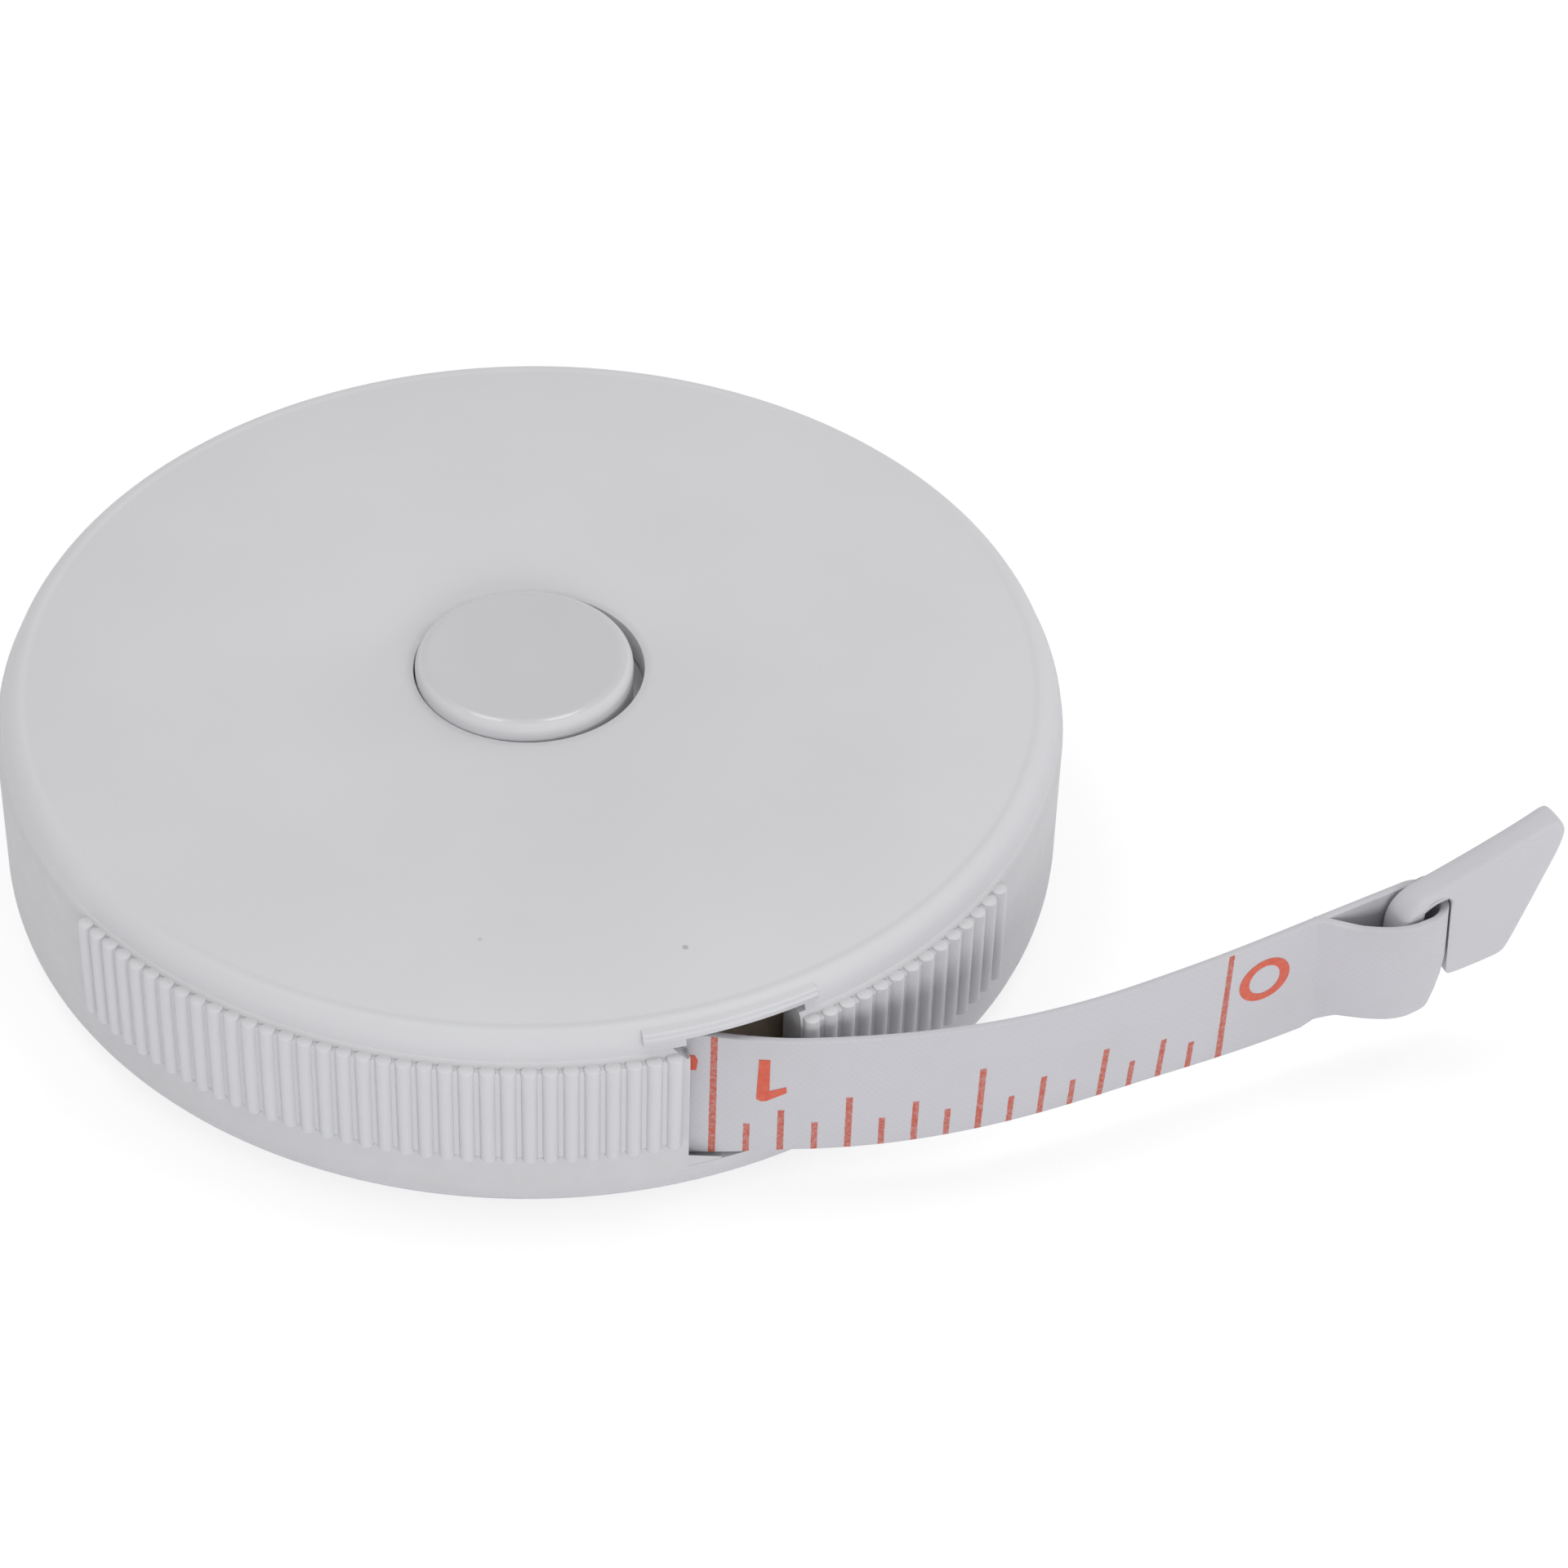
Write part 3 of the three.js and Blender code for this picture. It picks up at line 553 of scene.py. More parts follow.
# %% The tape's line in plan
tape_bottom = 2.4
tape_width = 7.2
tape_thickness = 0.4
mouth_inset = 0.63
exit_run = math.sqrt((case_radius - mouth_inset) ** 2 - exit_radius**2)
curl_run = 19.9
curl_turn = 28.2 * degree
curl_radius = 33.4
curl_start = 1 / curl_radius
curl_ease = (curl_turn - curl_run * curl_start) / curl_run**2
tail_run = 15.1
bend_run = exit_run + curl_run + tail_run


def between(low, value, high):
    return min(max(value, low), high)


def heading_at(run):
    curl = between(0, run - exit_run, curl_run)
    return leave_angle + curl_start * curl + curl_ease * curl**2


def tape_line(run):
    samples_per_mm = 8
    samples = max(1, round(run * samples_per_mm))
    place = exit_start.copy()
    for i in range(samples):
        heading = heading_at((i + 0.5) * run / samples)
        place += run / samples * Vector((math.cos(heading), math.sin(heading), 0))
    return place


def beside_tape(run, outwards, height=0):
    heading = heading_at(run)
    place = tape_line(run) + outwards * Vector((math.sin(heading), -math.cos(heading), 0))
    return place + Vector((0, 0, height))


print("the straight run ends at", round(exit_run, 2), "mm and the fold is at", round(bend_run, 2), "mm")

# %% [markdown]
# The free end also leans over by 2 degrees and is tipped up by 5, as the photograph shows. Halfway
# along it leans more, and at the window it rides a third of a millimetre higher. The same small
# movement is needed for the strip and for its printed numerals, so it is one function.

# %% Lean and tip of the free end
end_heading = heading_at(bend_run)
tip_reach = 11.6
tip_start = tape_line(bend_run - tip_reach)
tip_run = 6.7
tip_angle = 5.2 * degree
lean_angle = 2 * degree
lean_stops = [(6.5, -4.5), (12.5, 1.5), (27, 6), (37, 2)]
lift_stops = [(6, 0.33), (24, 0)]
turn_stops = [(12, leave_angle), (31.5, end_heading)]
tape_middle = tape_bottom + tape_width / 2
end_forward = Vector((math.cos(end_heading), math.sin(end_heading), 0))
front_side = Vector((math.sin(end_heading), -math.cos(end_heading), 0))


def reach_of(place):
    from_tip = place - tip_start
    return from_tip.x * math.cos(end_heading) + from_tip.y * math.sin(end_heading)


def rise_at(reach):
    share = between(0, reach / tip_run, 1)
    eased = between(0, reach, tip_run)
    return math.tan(tip_angle) * (share * reach - share * eased / 2)


def eased_between(value, stops):
    for (start, low), (end, high) in zip(stops, stops[1:]):
        if value < end:
            share = max((value - start) / (end - start), 0)
            return low + (high - low) * share**2 * (3 - 2 * share)
    return stops[-1][1]


def settled(place):
    reach = reach_of(place)
    lean = eased_between(place.x, lean_stops) * degree
    heading = eased_between(place.x, turn_stops)
    outwards = (place.z - tape_middle) * math.tan(lean)
    back = (place.z - tape_middle) * math.sin(tip_angle * between(0, reach / tip_run, 1))
    return Vector((
        place.x + outwards * math.sin(heading) - back * math.cos(heading),
        place.y - outwards * math.cos(heading) - back * math.sin(heading),
        place.z + rise_at(reach) + eased_between(place.x, lift_stops),
    ))


# %% The strip's middle line, there and back round the fold
bend_radius = 1.25
loop_reach = 4.9
loop_shoulder = 0.45
end_sink = 0.09


def strip_path():
    straight = [(exit_run * i / 12, 0) for i in range(12)]
    curl = [(exit_run + curl_run * i / 44, 0) for i in range(45)]
    tail = [(exit_run + curl_run + tail_run * i / 28, 0) for i in range(1, 28)]
    fold = [
        (bend_run + bend_radius * math.sin(turn), bend_radius * (1 - math.cos(turn)))
        for turn in [math.pi * i / 20 for i in range(21)]
    ]
    ramp = []
    for i in range(1, 25):
        share = 1 - i / 24
        height = (2 * bend_radius + end_sink) * share**1.3 * (2.3 - 1.3 * share) - end_sink
        ramp.append((bend_run - loop_reach + (loop_reach - loop_shoulder) * share, height))
    return [beside_tape(run, outwards) for run, outwards in straight + curl + tail + fold + ramp]


path = strip_path()
run_at = [0.0]
for here, there in zip(path, path[1:]):
    run_at.append(run_at[-1] + (there - here).length)
print("strip length, fold and all:", round(run_at[-1], 2), "mm")

# %% [markdown]
# The strip is drawn as that line, extruded to its full width, and given its thickness with a Solidify
# modifier. A small bevel softens the cut edges. Cloth this narrow behaves as flat webbing, so
# it is modelled directly and not simulated.

# %% The tape strip
def thicken(piece, thickness, edge):
    solidify = piece.modifiers.new("thickness", "SOLIDIFY")
    solidify.thickness = thickness * mm
    solidify.offset = 0
    solidify.use_even_offset = True
    bevel = piece.modifiers.new("soft_edge", "BEVEL")
    bevel.width = edge * mm
    bevel.segments = 2
    bevel.limit_method = "ANGLE"
    bevel.angle_limit = 60 * degree
    return apply_modifiers(piece)


strip_rows = 6
lower_edge = [point + Vector((0, 0, tape_bottom)) for point in path]
start_line("tape_strip", lower_edge[0])
draw_line(lower_edge)
bpy.ops.mesh.select_all(action="SELECT")
for i in range(strip_rows):
    extrude((0, 0, tape_width / strip_rows))
tape_strip = thicken(tidy_mesh(), tape_thickness, 0.09)
print("tape_strip has", len(tape_strip.data.polygons), "faces")

# %% [markdown]
# The printed scale has to follow the cloth, so the strip gets its own UV map: U is the distance run
# along the tape in metres and V is the share of its width. An attribute says which face of the cloth
# a point is on, because each face has its own print.

# %% A UV map that runs along the strip
def nearest_on_path(place, hint):
    best = None
    for i in range(max(0, hint - 3), min(len(path) - 1, hint + 4)):
        step = path[i + 1] - path[i]
        share = between(0, (place - path[i]).dot(step) / step.length_squared, 1)
        gap = (place - path[i] - share * step).length
        if best is None or gap < best[0]:
            best = (gap, run_at[i] + share * step.length, step.normalized())
    return best


def lay_uv(piece):
    mesh = piece.data
    uv = mesh.uv_layers.new(name="along_tape")
    side = mesh.attributes.new("cloth_side", "FLOAT", "FACE")
    for face in mesh.polygons:
        centre = face.center / mm
        flat = Vector((centre.x, centre.y, 0))
        hint = min(range(len(path)), key=lambda i: (path[i] - flat).length_squared)
        forward = nearest_on_path(flat, hint)[2]
        outward = Vector((forward.y, -forward.x, 0))
        side.data[face.index].value = round(face.normal.dot(outward))
        for loop in face.loop_indices:
            corner = mesh.vertices[mesh.loops[loop].vertex_index].co / mm
            run = nearest_on_path(Vector((corner.x, corner.y, 0)), hint)[1]
            uv.data[loop].uv = (run * mm, (corner.z - tape_bottom) / tape_width)


lay_uv(tape_strip)
print("UV map laid over", len(tape_strip.data.loops), "corners")

# %% Trim the folded end, then lean it and tip it up
trim_start = tape_line(bend_run - 5.15)
trim_ease = 1.2
trim_depth = 0.8
fold_start = 2.75
fold_run = 4
fold_trim = 0.4
fold_slant = 0.8
slant_height = 4
upper_trim = 0.25
tape_top = tape_bottom + tape_width


def settle(piece):
    for vertex in piece.data.vertices:
        place = vertex.co / mm
        flat = Vector((place.x, place.y, 0))
        height = place.z - tape_bottom
        reach = reach_of(flat) - reach_of(trim_start)
        past_trim = between(0, reach / trim_ease, 1)
        past_fold = between(0, (reach - fold_start) / fold_run, 1)
        folded = between(0, (flat - trim_start).dot(front_side) / trim_ease, 1)
        low = max(0, 1 - height / (tape_width / 2)) ** 1.5
        back = fold_slant * past_fold * max(0, 1 - height / slant_height) ** 1.5
        place.z += (trim_depth + fold_trim * past_fold) * low * past_trim
        place.z -= upper_trim * folded * past_trim * max(0, 1 - (tape_top - place.z) / trim_ease)
        place -= end_forward * back
        vertex.co = settled(place) * mm
    piece.data.update()


settle(tape_strip)
print("tape_strip box in mm:", [round(1000 * side, 1) for side in tape_strip.dimensions])

# %% [markdown]
# The numerals look upside down from here, because the tape is meant to be read from its other side.
# They are printed shapes: a ring for the nought, and drawn outlines for the one and for the mark next
# to it. Each is drawn flat and laid on the cloth corner by corner, a hundredth of a millimetre off it.

# %% Lay flat shapes on the cloth
print_gap = tape_thickness / 2 + 0.012


def lay_on_cloth(piece):
    for vertex in piece.data.vertices:
        run, height = vertex.co.x / mm, vertex.co.y / mm
        vertex.co = settled(beside_tape(run, print_gap, height)) * mm
    piece.data.update()


def flat_shape(name, points):
    start_line(name, (*points[0], 0))
    draw_line([(*point, 0) for point in points])
    close_with_face()
    return tidy_mesh()


# %% The nought, the one and the mark beyond the inch
inch = 25.4
zero_run = 35.68
one_run = zero_run - inch + 2.1
zero_middle = Vector((zero_run + 2.07, 7.02, 0))
zero_size = (1.38, 1.36, 1)
stroke_width = 0.44
narrower_hole = (0.9, 1, 1)
ink_thickness = 0.02

bpy.ops.object.select_all(action="DESELECT")
bpy.ops.mesh.primitive_circle_add(vertices=64, radius=mm, fill_type="NGON", location=zero_middle * mm)
numeral_zero = bpy.context.object
bpy.ops.object.transform_apply(location=True)
bpy.ops.object.mode_set(mode="EDIT")
bpy.ops.mesh.select_all(action="SELECT")
bpy.ops.transform.resize(value=zero_size, center_override=zero_middle * mm)
bpy.ops.mesh.inset(thickness=stroke_width * mm)
bpy.ops.transform.resize(value=narrower_hole, center_override=zero_middle * mm)
bpy.ops.mesh.delete(type="FACE")
bpy.ops.object.mode_set(mode="OBJECT")

one_points = [
    (one_run - 0.02, 8.45),
    (one_run - 0.1, 5.9),
    (one_run + 0.12, 5.74),
    (one_run + 0.36, 5.76),
    (one_run + 1.3, 6.3),
    (one_run + 1.28, 6.68),
    (one_run + 0.5, 6.42),
    (one_run + 0.5, 8.45),
]
numeral_one = flat_shape("numeral_one", one_points)
mark_points = [
    (zero_run - 28.2, 7.6),
    (zero_run - 26.2, 7.5),
    (zero_run - 26.13, 8.1),
    (zero_run - 26.28, 8.4),
    (zero_run - 28.2, 8.4),
]
numeral_mark = flat_shape("numeral_mark", mark_points)
printed_numerals = join_pieces("printed_numerals", [numeral_zero, numeral_one, numeral_mark])
lay_on_cloth(printed_numerals)
ink_layer = printed_numerals.modifiers.new("thickness", "SOLIDIFY")
ink_layer.thickness = ink_thickness * mm
ink_layer.offset = 0
apply_modifiers(printed_numerals)
print("printed_numerals has", len(printed_numerals.data.polygons), "faces")

# %% [markdown]
# The finger tab is a moulded hook: a round bar that lies in the tape's fold, a bridge over the tape's
# edge, and a plate to pull on. It is drawn flat, split into simple faces, inset and given its thickness.
# A Subdivision Surface then rounds every edge, which suits a small soft-edged moulding better than
# a bevel does.

# %% The finger tab
bar_back = 0.75
bar_radius = 0.75
tab_thickness = 1.7
tab_rounding = 0.42
slot_edge = 2.06
slot_middle = 2.42
slot_top = 3.6
tab_outline = [
    (-bar_radius, -2.6),
    (bar_radius, -2.6),
    (bar_radius, -1.9),
    (bar_radius, 1.2),
    (bar_radius, 2.8),
    (bar_radius, 3.5),
    (1.0, 3.82),
    (1.4, 3.88),
    (1.9, 3.82),
    (slot_edge, 3.4),
    (slot_edge, 2.2),
    (slot_edge, -0.9),
    (slot_edge, -1.5),
    (2.2, -1.72),
    (3.0, -1.76),
    (4.8, -1.74),
    (5.35, -1.62),
    (5.68, -1.15),
    (7.0, 1.85),
    (7.95, 4.0),
    (8.24, 4.85),
    (8.31, 5.5),
    (8.12, 5.92),
    (7.7, 5.92),
    (6.9, 5.6),
    (4.7, 4.99),
    (slot_edge, 4.38),
    (0.9, 4.16),
    (0.1, 3.84),
    (-0.4, 3.32),
    (-0.68, 2.5),
    (-bar_radius, 1.2),
    (-bar_radius, -1.9),
]
tab_cuts = [((slot_edge, 0, 0), (1, 0, 0)), ((bar_radius, 0, 0), (1, 0, 0)), ((0, 2.9, 0), (0, 1, 0))]


def on_slot(place):
    return abs(place.x - slot_edge) < 0.02 and place.y < slot_top


def shape_tab():
    points = [(*point, -tab_thickness / 2) for point in tab_outline]
    start_line("finger_tab", points[0])
    draw_line(points)
    close_with_face()
    for place, direction in tab_cuts:
        bpy.ops.mesh.select_all(action="SELECT")
        bpy.ops.mesh.bisect(plane_co=Vector(place) * mm, plane_no=direction, threshold=0.01 * mm)
    bpy.ops.mesh.select_all(action="SELECT")
    bpy.ops.mesh.inset(thickness=tab_rounding * mm)
    bpy.ops.mesh.select_all(action="SELECT")
    for i in range(2):
        extrude((0, 0, tab_thickness / 2))
    bpy.ops.mesh.select_mode(type="EDGE")
    bpy.ops.mesh.select_all(action="DESELECT")
    bpy.ops.object.mode_set(mode="OBJECT")
    mesh = bpy.context.object.data
    for corner in mesh.vertices:
        if on_slot(corner.co / mm) and abs(corner.co.z) < 0.01 * mm:
            corner.co.x = slot_middle * mm
    for edge in mesh.edges:
        ends = [mesh.vertices[corner].co / mm for corner in edge.vertices]
        on_rim = all(abs(abs(end.z) - tab_thickness / 2) < 0.01 for end in ends)
        edge.select = on_rim and all(on_slot(end) for end in ends)
    bpy.ops.object.mode_set(mode="EDIT")
    bpy.ops.transform.edge_crease(value=0.75)
    piece = tidy_mesh()
    rounding = piece.modifiers.new("rounding", "SUBSURF")
    rounding.levels = 3
    rounding.render_levels = 3
    return apply_modifiers(piece)


finger_tab = shape_tab()
print("finger_tab has", len(finger_tab.data.polygons), "faces")

# %% Hang the tab in the fold, as the tape's end leans and tips
bar_place = beside_tape(bend_run - bar_back, bend_radius)
bar_place.z = tape_middle + rise_at(reach_of(bar_place))
along = end_forward * math.cos(tip_angle)
along.z = math.sin(tip_angle)
upward = front_side.cross(along) * math.cos(lean_angle) + front_side * math.sin(lean_angle)
across_tab = along.cross(upward)
hang = Matrix((along, upward, across_tab)).transposed().to_4x4()
finger_tab.matrix_world = Matrix.Translation(bar_place * mm) @ hang
fix_place()
print("the bar's middle is at", [round(value, 2) for value in bar_place], "mm")

# %% [markdown]
# A small coil spring under the button pushes it up, and gets shorter as the button goes down. Its wire
# is one ring of points that the Screw modifier winds up the axis. It stands on the case.

# %% The button's spring
spring_low, spring_high = [Vector(corner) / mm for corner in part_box("button_spring")]
wire_radius = 0.2
spring_turns = 4
steps_per_turn = 28
spring_height = spring_high.z - spring_low.z
bpy.ops.object.select_all(action="DESELECT")
bpy.ops.mesh.primitive_circle_add(
    vertices=10,
    radius=wire_radius * mm,
    location=((spring_high.x - wire_radius) * mm, 0, (spring_low.z + wire_radius) * mm),
    rotation=(90 * degree, 0, 0),
)
button_coil = bpy.context.object
button_coil.name = "button_coil"
fix_place()
winding = button_coil.modifiers.new("winding", "SCREW")
winding.screw_offset = (spring_height - 2 * wire_radius) / spring_turns * mm
winding.iterations = spring_turns
winding.steps = steps_per_turn
winding.render_steps = steps_per_turn
apply_modifiers(button_coil)
bpy.ops.object.mode_set(mode="EDIT")
bpy.ops.mesh.select_all(action="SELECT")
bpy.ops.mesh.fill_holes(sides=0)
tidy_mesh()
print("button_coil has", len(button_coil.data.polygons), "faces")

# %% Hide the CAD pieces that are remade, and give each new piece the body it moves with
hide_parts("button_spring")
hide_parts("lower_shell")
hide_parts("upper_shell")
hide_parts("push_button")
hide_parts("tape_lead")
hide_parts("pull_tab")
for piece, body, slot in [
    (case_cup, "case", "case_plastic"),
    (grip_ribs, "case", "case_plastic"),
    (cap_shell, "case", "case_plastic"),
    (push_cap, "button", "button_plastic"),
    (tape_strip, "tape", "coated_cloth"),
    (printed_numerals, "tape", "coated_cloth"),
    (finger_tab, "tab", "tab_plastic"),
    (button_coil, "case", "spring_steel"),
]:
    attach(piece, body)
    print(piece.name, "moves with", body)
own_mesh(button_coil)

# %% [markdown]
# The turned and moulded faces are flat facets so far. Real mouldings are smooth, with crisp edges only
# where the mould has one. Shading by angle does that: it smooths across faces that meet at less than
# the angle given, and leaves the sharper edges alone.

# %% Smooth faces with crisp edges
crisp_angle = 32 * degree
for piece in (case_cup, grip_ribs, cap_shell, push_cap, tape_strip, finger_tab, button_coil):
    select_only(piece)
    bpy.ops.object.shade_smooth_by_angle(angle=crisp_angle)
print("smoothed the moulded pieces")

# %% [markdown]
# Every finish is a small network of nodes. These helpers keep the networks readable: one adds a node
# and fills or links its inputs, one adds a Math node, and one starts a node group with its sockets.
# Colours are written as they should look on the screen, from 0 to 255, and turned into light values.

# %% Helpers for nodes
def seen_as(red, green, blue):
    def light(value):
        share = value / 255
        return share / 12.92 if share <= 0.04045 else ((share + 0.055) / 1.055) ** 2.4

    return (light(red), light(green), light(blue), 1)


def connect(tree, socket, value):
    if isinstance(value, bpy.types.NodeSocket):
        tree.links.new(value, socket)
    else:
        socket.default_value = value


def add_node(tree, kind, settings=None, **inputs):
    node = tree.nodes.new(kind)
    for name, value in (settings or {}).items():
        setattr(node, name, value)
    for name, value in inputs.items():
        connect(tree, node.inputs[name.replace("_", " ")], value)
    return node


def calculate(tree, operation, *values):
    node = tree.nodes.new("ShaderNodeMath")
    node.operation = operation
    for socket, value in zip(node.inputs, values):
        connect(tree, socket, value)
    return node.outputs["Value"]


def remap(tree, value, low, high, to_low=0, to_high=1):
    node = add_node(tree, "ShaderNodeMapRange", {"interpolation_type": "SMOOTHSTEP"}, Value=value)
    for name, number in (("From Min", low), ("From Max", high), ("To Min", to_low), ("To Max", to_high)):
        connect(tree, node.inputs[name], number)
    return node.outputs["Result"]


# The Mix node has one set of sockets for each kind of value, so its colour sockets go by number.
mix_share, mix_first, mix_second, mix_result = 0, 6, 7, 2


def blend_colours(tree, share, first, second):
    node = tree.nodes.new("ShaderNodeMix")
    node.data_type = "RGBA"
    for socket, value in ((mix_share, share), (mix_first, first), (mix_second, second)):
        connect(tree, node.inputs[socket], value)
    return node.outputs[mix_result]


def noise(tree, vector, scale, detail=2, roughness=0.5):
    node = add_node(
        tree, "ShaderNodeTexNoise", Vector=vector, Scale=scale, Detail=detail, Roughness=roughness
    )
    return node.outputs["Fac"]


def start_group(name, inputs, outputs):
    tree = bpy.data.node_groups.new(name, "ShaderNodeTree")
    for socket in inputs:
        tree.interface.new_socket(name=socket, in_out="INPUT", socket_type="NodeSocketFloat")
    for socket in outputs:
        tree.interface.new_socket(name=socket, in_out="OUTPUT", socket_type="NodeSocketFloat")
    return tree, tree.nodes.new("NodeGroupInput"), tree.nodes.new("NodeGroupOutput")


def object_place(tree):
    return tree.nodes.new("ShaderNodeTexCoord").outputs["Object"]


def distance_from_axis(tree, place):
    parts = add_node(tree, "ShaderNodeSeparateXYZ", Vector=place)
    squares = [calculate(tree, "POWER", parts.outputs[axis], 2) for axis in ("X", "Y")]
    return calculate(tree, "SQRT", calculate(tree, "ADD", *squares))


# %% [markdown]
# Moulded plastic is never quite even. The mould leaves a fine grain, the colour drifts a little from
# place to place, and a few dark specks are caught in it. One node group holds all three, and each
# plastic sets its own sizes. Object coordinates are in metres, so a scale of 5000 is a fifth of a
# millimetre.

# %% Node group: moulded grain, drift of colour and specks
grain_group, given, result = start_group(
    "moulded_grain", ["Grain Scale", "Drift Scale", "Speck Scale"], ["Grain", "Drift", "Specks"]
)
place = object_place(grain_group)
fine = noise(grain_group, place, given.outputs["Grain Scale"], 3, 0.6)
drift = noise(grain_group, place, given.outputs["Drift Scale"], 2, 0.5)
cells = add_node(
    grain_group, "ShaderNodeTexVoronoi", Vector=place, Scale=given.outputs["Speck Scale"]
)
chosen = add_node(grain_group, "ShaderNodeSeparateColor", Color=cells.outputs["Color"])
rare = remap(grain_group, chosen.outputs["Red"], 0.975, 0.985)
dot = remap(grain_group, cells.outputs["Distance"], 0.035, 0.085, 1, 0)
connect(grain_group, result.inputs["Grain"], fine)
connect(grain_group, result.inputs["Drift"], remap(grain_group, drift, 0.3, 0.7))
connect(grain_group, result.inputs["Specks"], calculate(grain_group, "MULTIPLY", rare, dot))
print("moulded_grain:", len(grain_group.nodes), "nodes")

# %% [markdown]
# Hands polish what stands out, and what lies deep is painted darker as shade. The case is round, so the
# distance from its axis tells the two apart. This group marks the surface near one radius, broken up by
# noise.

# %% Node group: the surface near one radius
band_group, given, result = start_group("round_band", ["Radius", "Width", "Breakup"], ["Mask"])
place = object_place(band_group)
distance = distance_from_axis(band_group, place)
offset = calculate(band_group, "SUBTRACT", distance, given.outputs["Radius"])
gap = calculate(band_group, "ABSOLUTE", offset)
near = remap(band_group, calculate(band_group, "DIVIDE", gap, given.outputs["Width"]), 0, 1, 1, 0)
patchy = remap(band_group, noise(band_group, place, 900, 4, 0.6), 0.3, 0.65)
unmarked = calculate(band_group, "SUBTRACT", 1, patchy)
uneven = calculate(band_group, "MULTIPLY", unmarked, given.outputs["Breakup"])
left_over = calculate(band_group, "SUBTRACT", 1, uneven)
connect(band_group, result.inputs["Mask"], calculate(band_group, "MULTIPLY", near, left_over))
print("round_band:", len(band_group.nodes), "nodes")


# %% Start a material and place a group in it
def start_material(name, **shader_values):
    material = bpy.data.materials.new(name)
    material.use_nodes = True
    shader = material.node_tree.nodes["Principled BSDF"]
    for socket, value in shader_values.items():
        shader.inputs[socket.replace("_", " ")].default_value = value
    return material, material.node_tree, shader


def place_group(tree, group, **values):
    node = tree.nodes.new("ShaderNodeGroup")
    node.node_tree = group
    for name, value in values.items():
        connect(tree, node.inputs[name.replace("_", " ")], value)
    return node


def add_bump(tree, shader, height, strength, distance):
    bump = add_node(tree, "ShaderNodeBump", Height=height, Strength=strength, Distance=distance)
    connect(tree, shader.inputs["Normal"], bump.outputs["Normal"])
    return bump


# %% [markdown]
# The case, the cap and the ribs are the same satin white plastic, faintly grey. Painted shade darkens the
# surface close to the outer wall, round the ribs, and a ring round the button's hole, and handling has
# polished the ribs' crests.

# %% Satin case plastic
# painted shade: darker rings of colour near the outer wall and round the button's hole; each gives
# radius, width, breakup and strength
painted_shade_bands = [(26.55, 0.3, 0.35, 0.12), (5.85, 0.4, 0.6, 0.16)]


def satin_plastic(name, main, deep, gloss):
    material, tree, shader = start_material(name, Specular_IOR_Level=0.42)
    grain = place_group(tree, grain_group, Grain_Scale=5200, Drift_Scale=110, Speck_Scale=420)
    colour = blend_colours(tree, grain.outputs["Drift"], main, deep)
    for radius, width, breakup, strength in painted_shade_bands:
        # painted shade: each ring is mixed towards grey by its strength
        shade_ring = place_group(tree, band_group, Radius=radius * mm, Width=width * mm, Breakup=breakup)
        shade = calculate(tree, "MULTIPLY", shade_ring.outputs["Mask"], strength)
        colour = blend_colours(tree, shade, colour, seen_as(122, 120, 118))
    crests = place_group(tree, band_group, Radius=27.12 * mm, Width=0.22 * mm, Breakup=0.7)
    specks = calculate(tree, "MULTIPLY", grain.outputs["Specks"], 0.5)
    colour = blend_colours(tree, specks, colour, seen_as(120, 116, 108))
    connect(tree, shader.inputs["Base Color"], colour)
    rough = remap(tree, grain.outputs["Grain"], 0.25, 0.75, gloss - 0.05, gloss + 0.07)
    polish = calculate(tree, "MULTIPLY", crests.outputs["Mask"], 0.12)
    connect(tree, shader.inputs["Roughness"], calculate(tree, "SUBTRACT", rough, polish))
    add_bump(tree, shader, grain.outputs["Grain"], 0.35, 0.02 * mm)
    return material


case_plastic = satin_plastic("case_plastic", seen_as(204, 204, 207), seen_as(202, 202, 205), 0.46)
tab_plastic = satin_plastic("tab_plastic", seen_as(195, 195, 199), seen_as(192, 192, 196), 0.36)
print("made", case_plastic.name, "and", tab_plastic.name)

# %% [markdown]
# The button is the one glossy piece. A thin coat over the same white gives it sharp highlights on its
# rounded edge, and very fine scratches from fingernails run across its top. Their direction comes
# from a noise that is stretched along one side.

# %% Glossy button plastic
button_plastic, tree, shader = start_material(
    "button_plastic", Specular_IOR_Level=0.5, Coat_Weight=0.25, Coat_Roughness=0.06
)
grain = place_group(tree, grain_group, Grain_Scale=7000, Drift_Scale=140, Speck_Scale=300)
height = add_node(tree, "ShaderNodeSeparateXYZ", Vector=object_place(tree)).outputs["Z"]
# painted shade: the flat top is coloured darker than the rounded edge and the side
shaded_top = remap(tree, height, (button_top - 0.16) * mm, (button_top - 0.06) * mm)
colour = blend_colours(tree, shaded_top, seen_as(203, 203, 206), seen_as(189, 189, 192))
worn_top = calculate(tree, "MULTIPLY", grain.outputs["Drift"], 0.5)
colour = blend_colours(tree, worn_top, colour, seen_as(196, 196, 199))
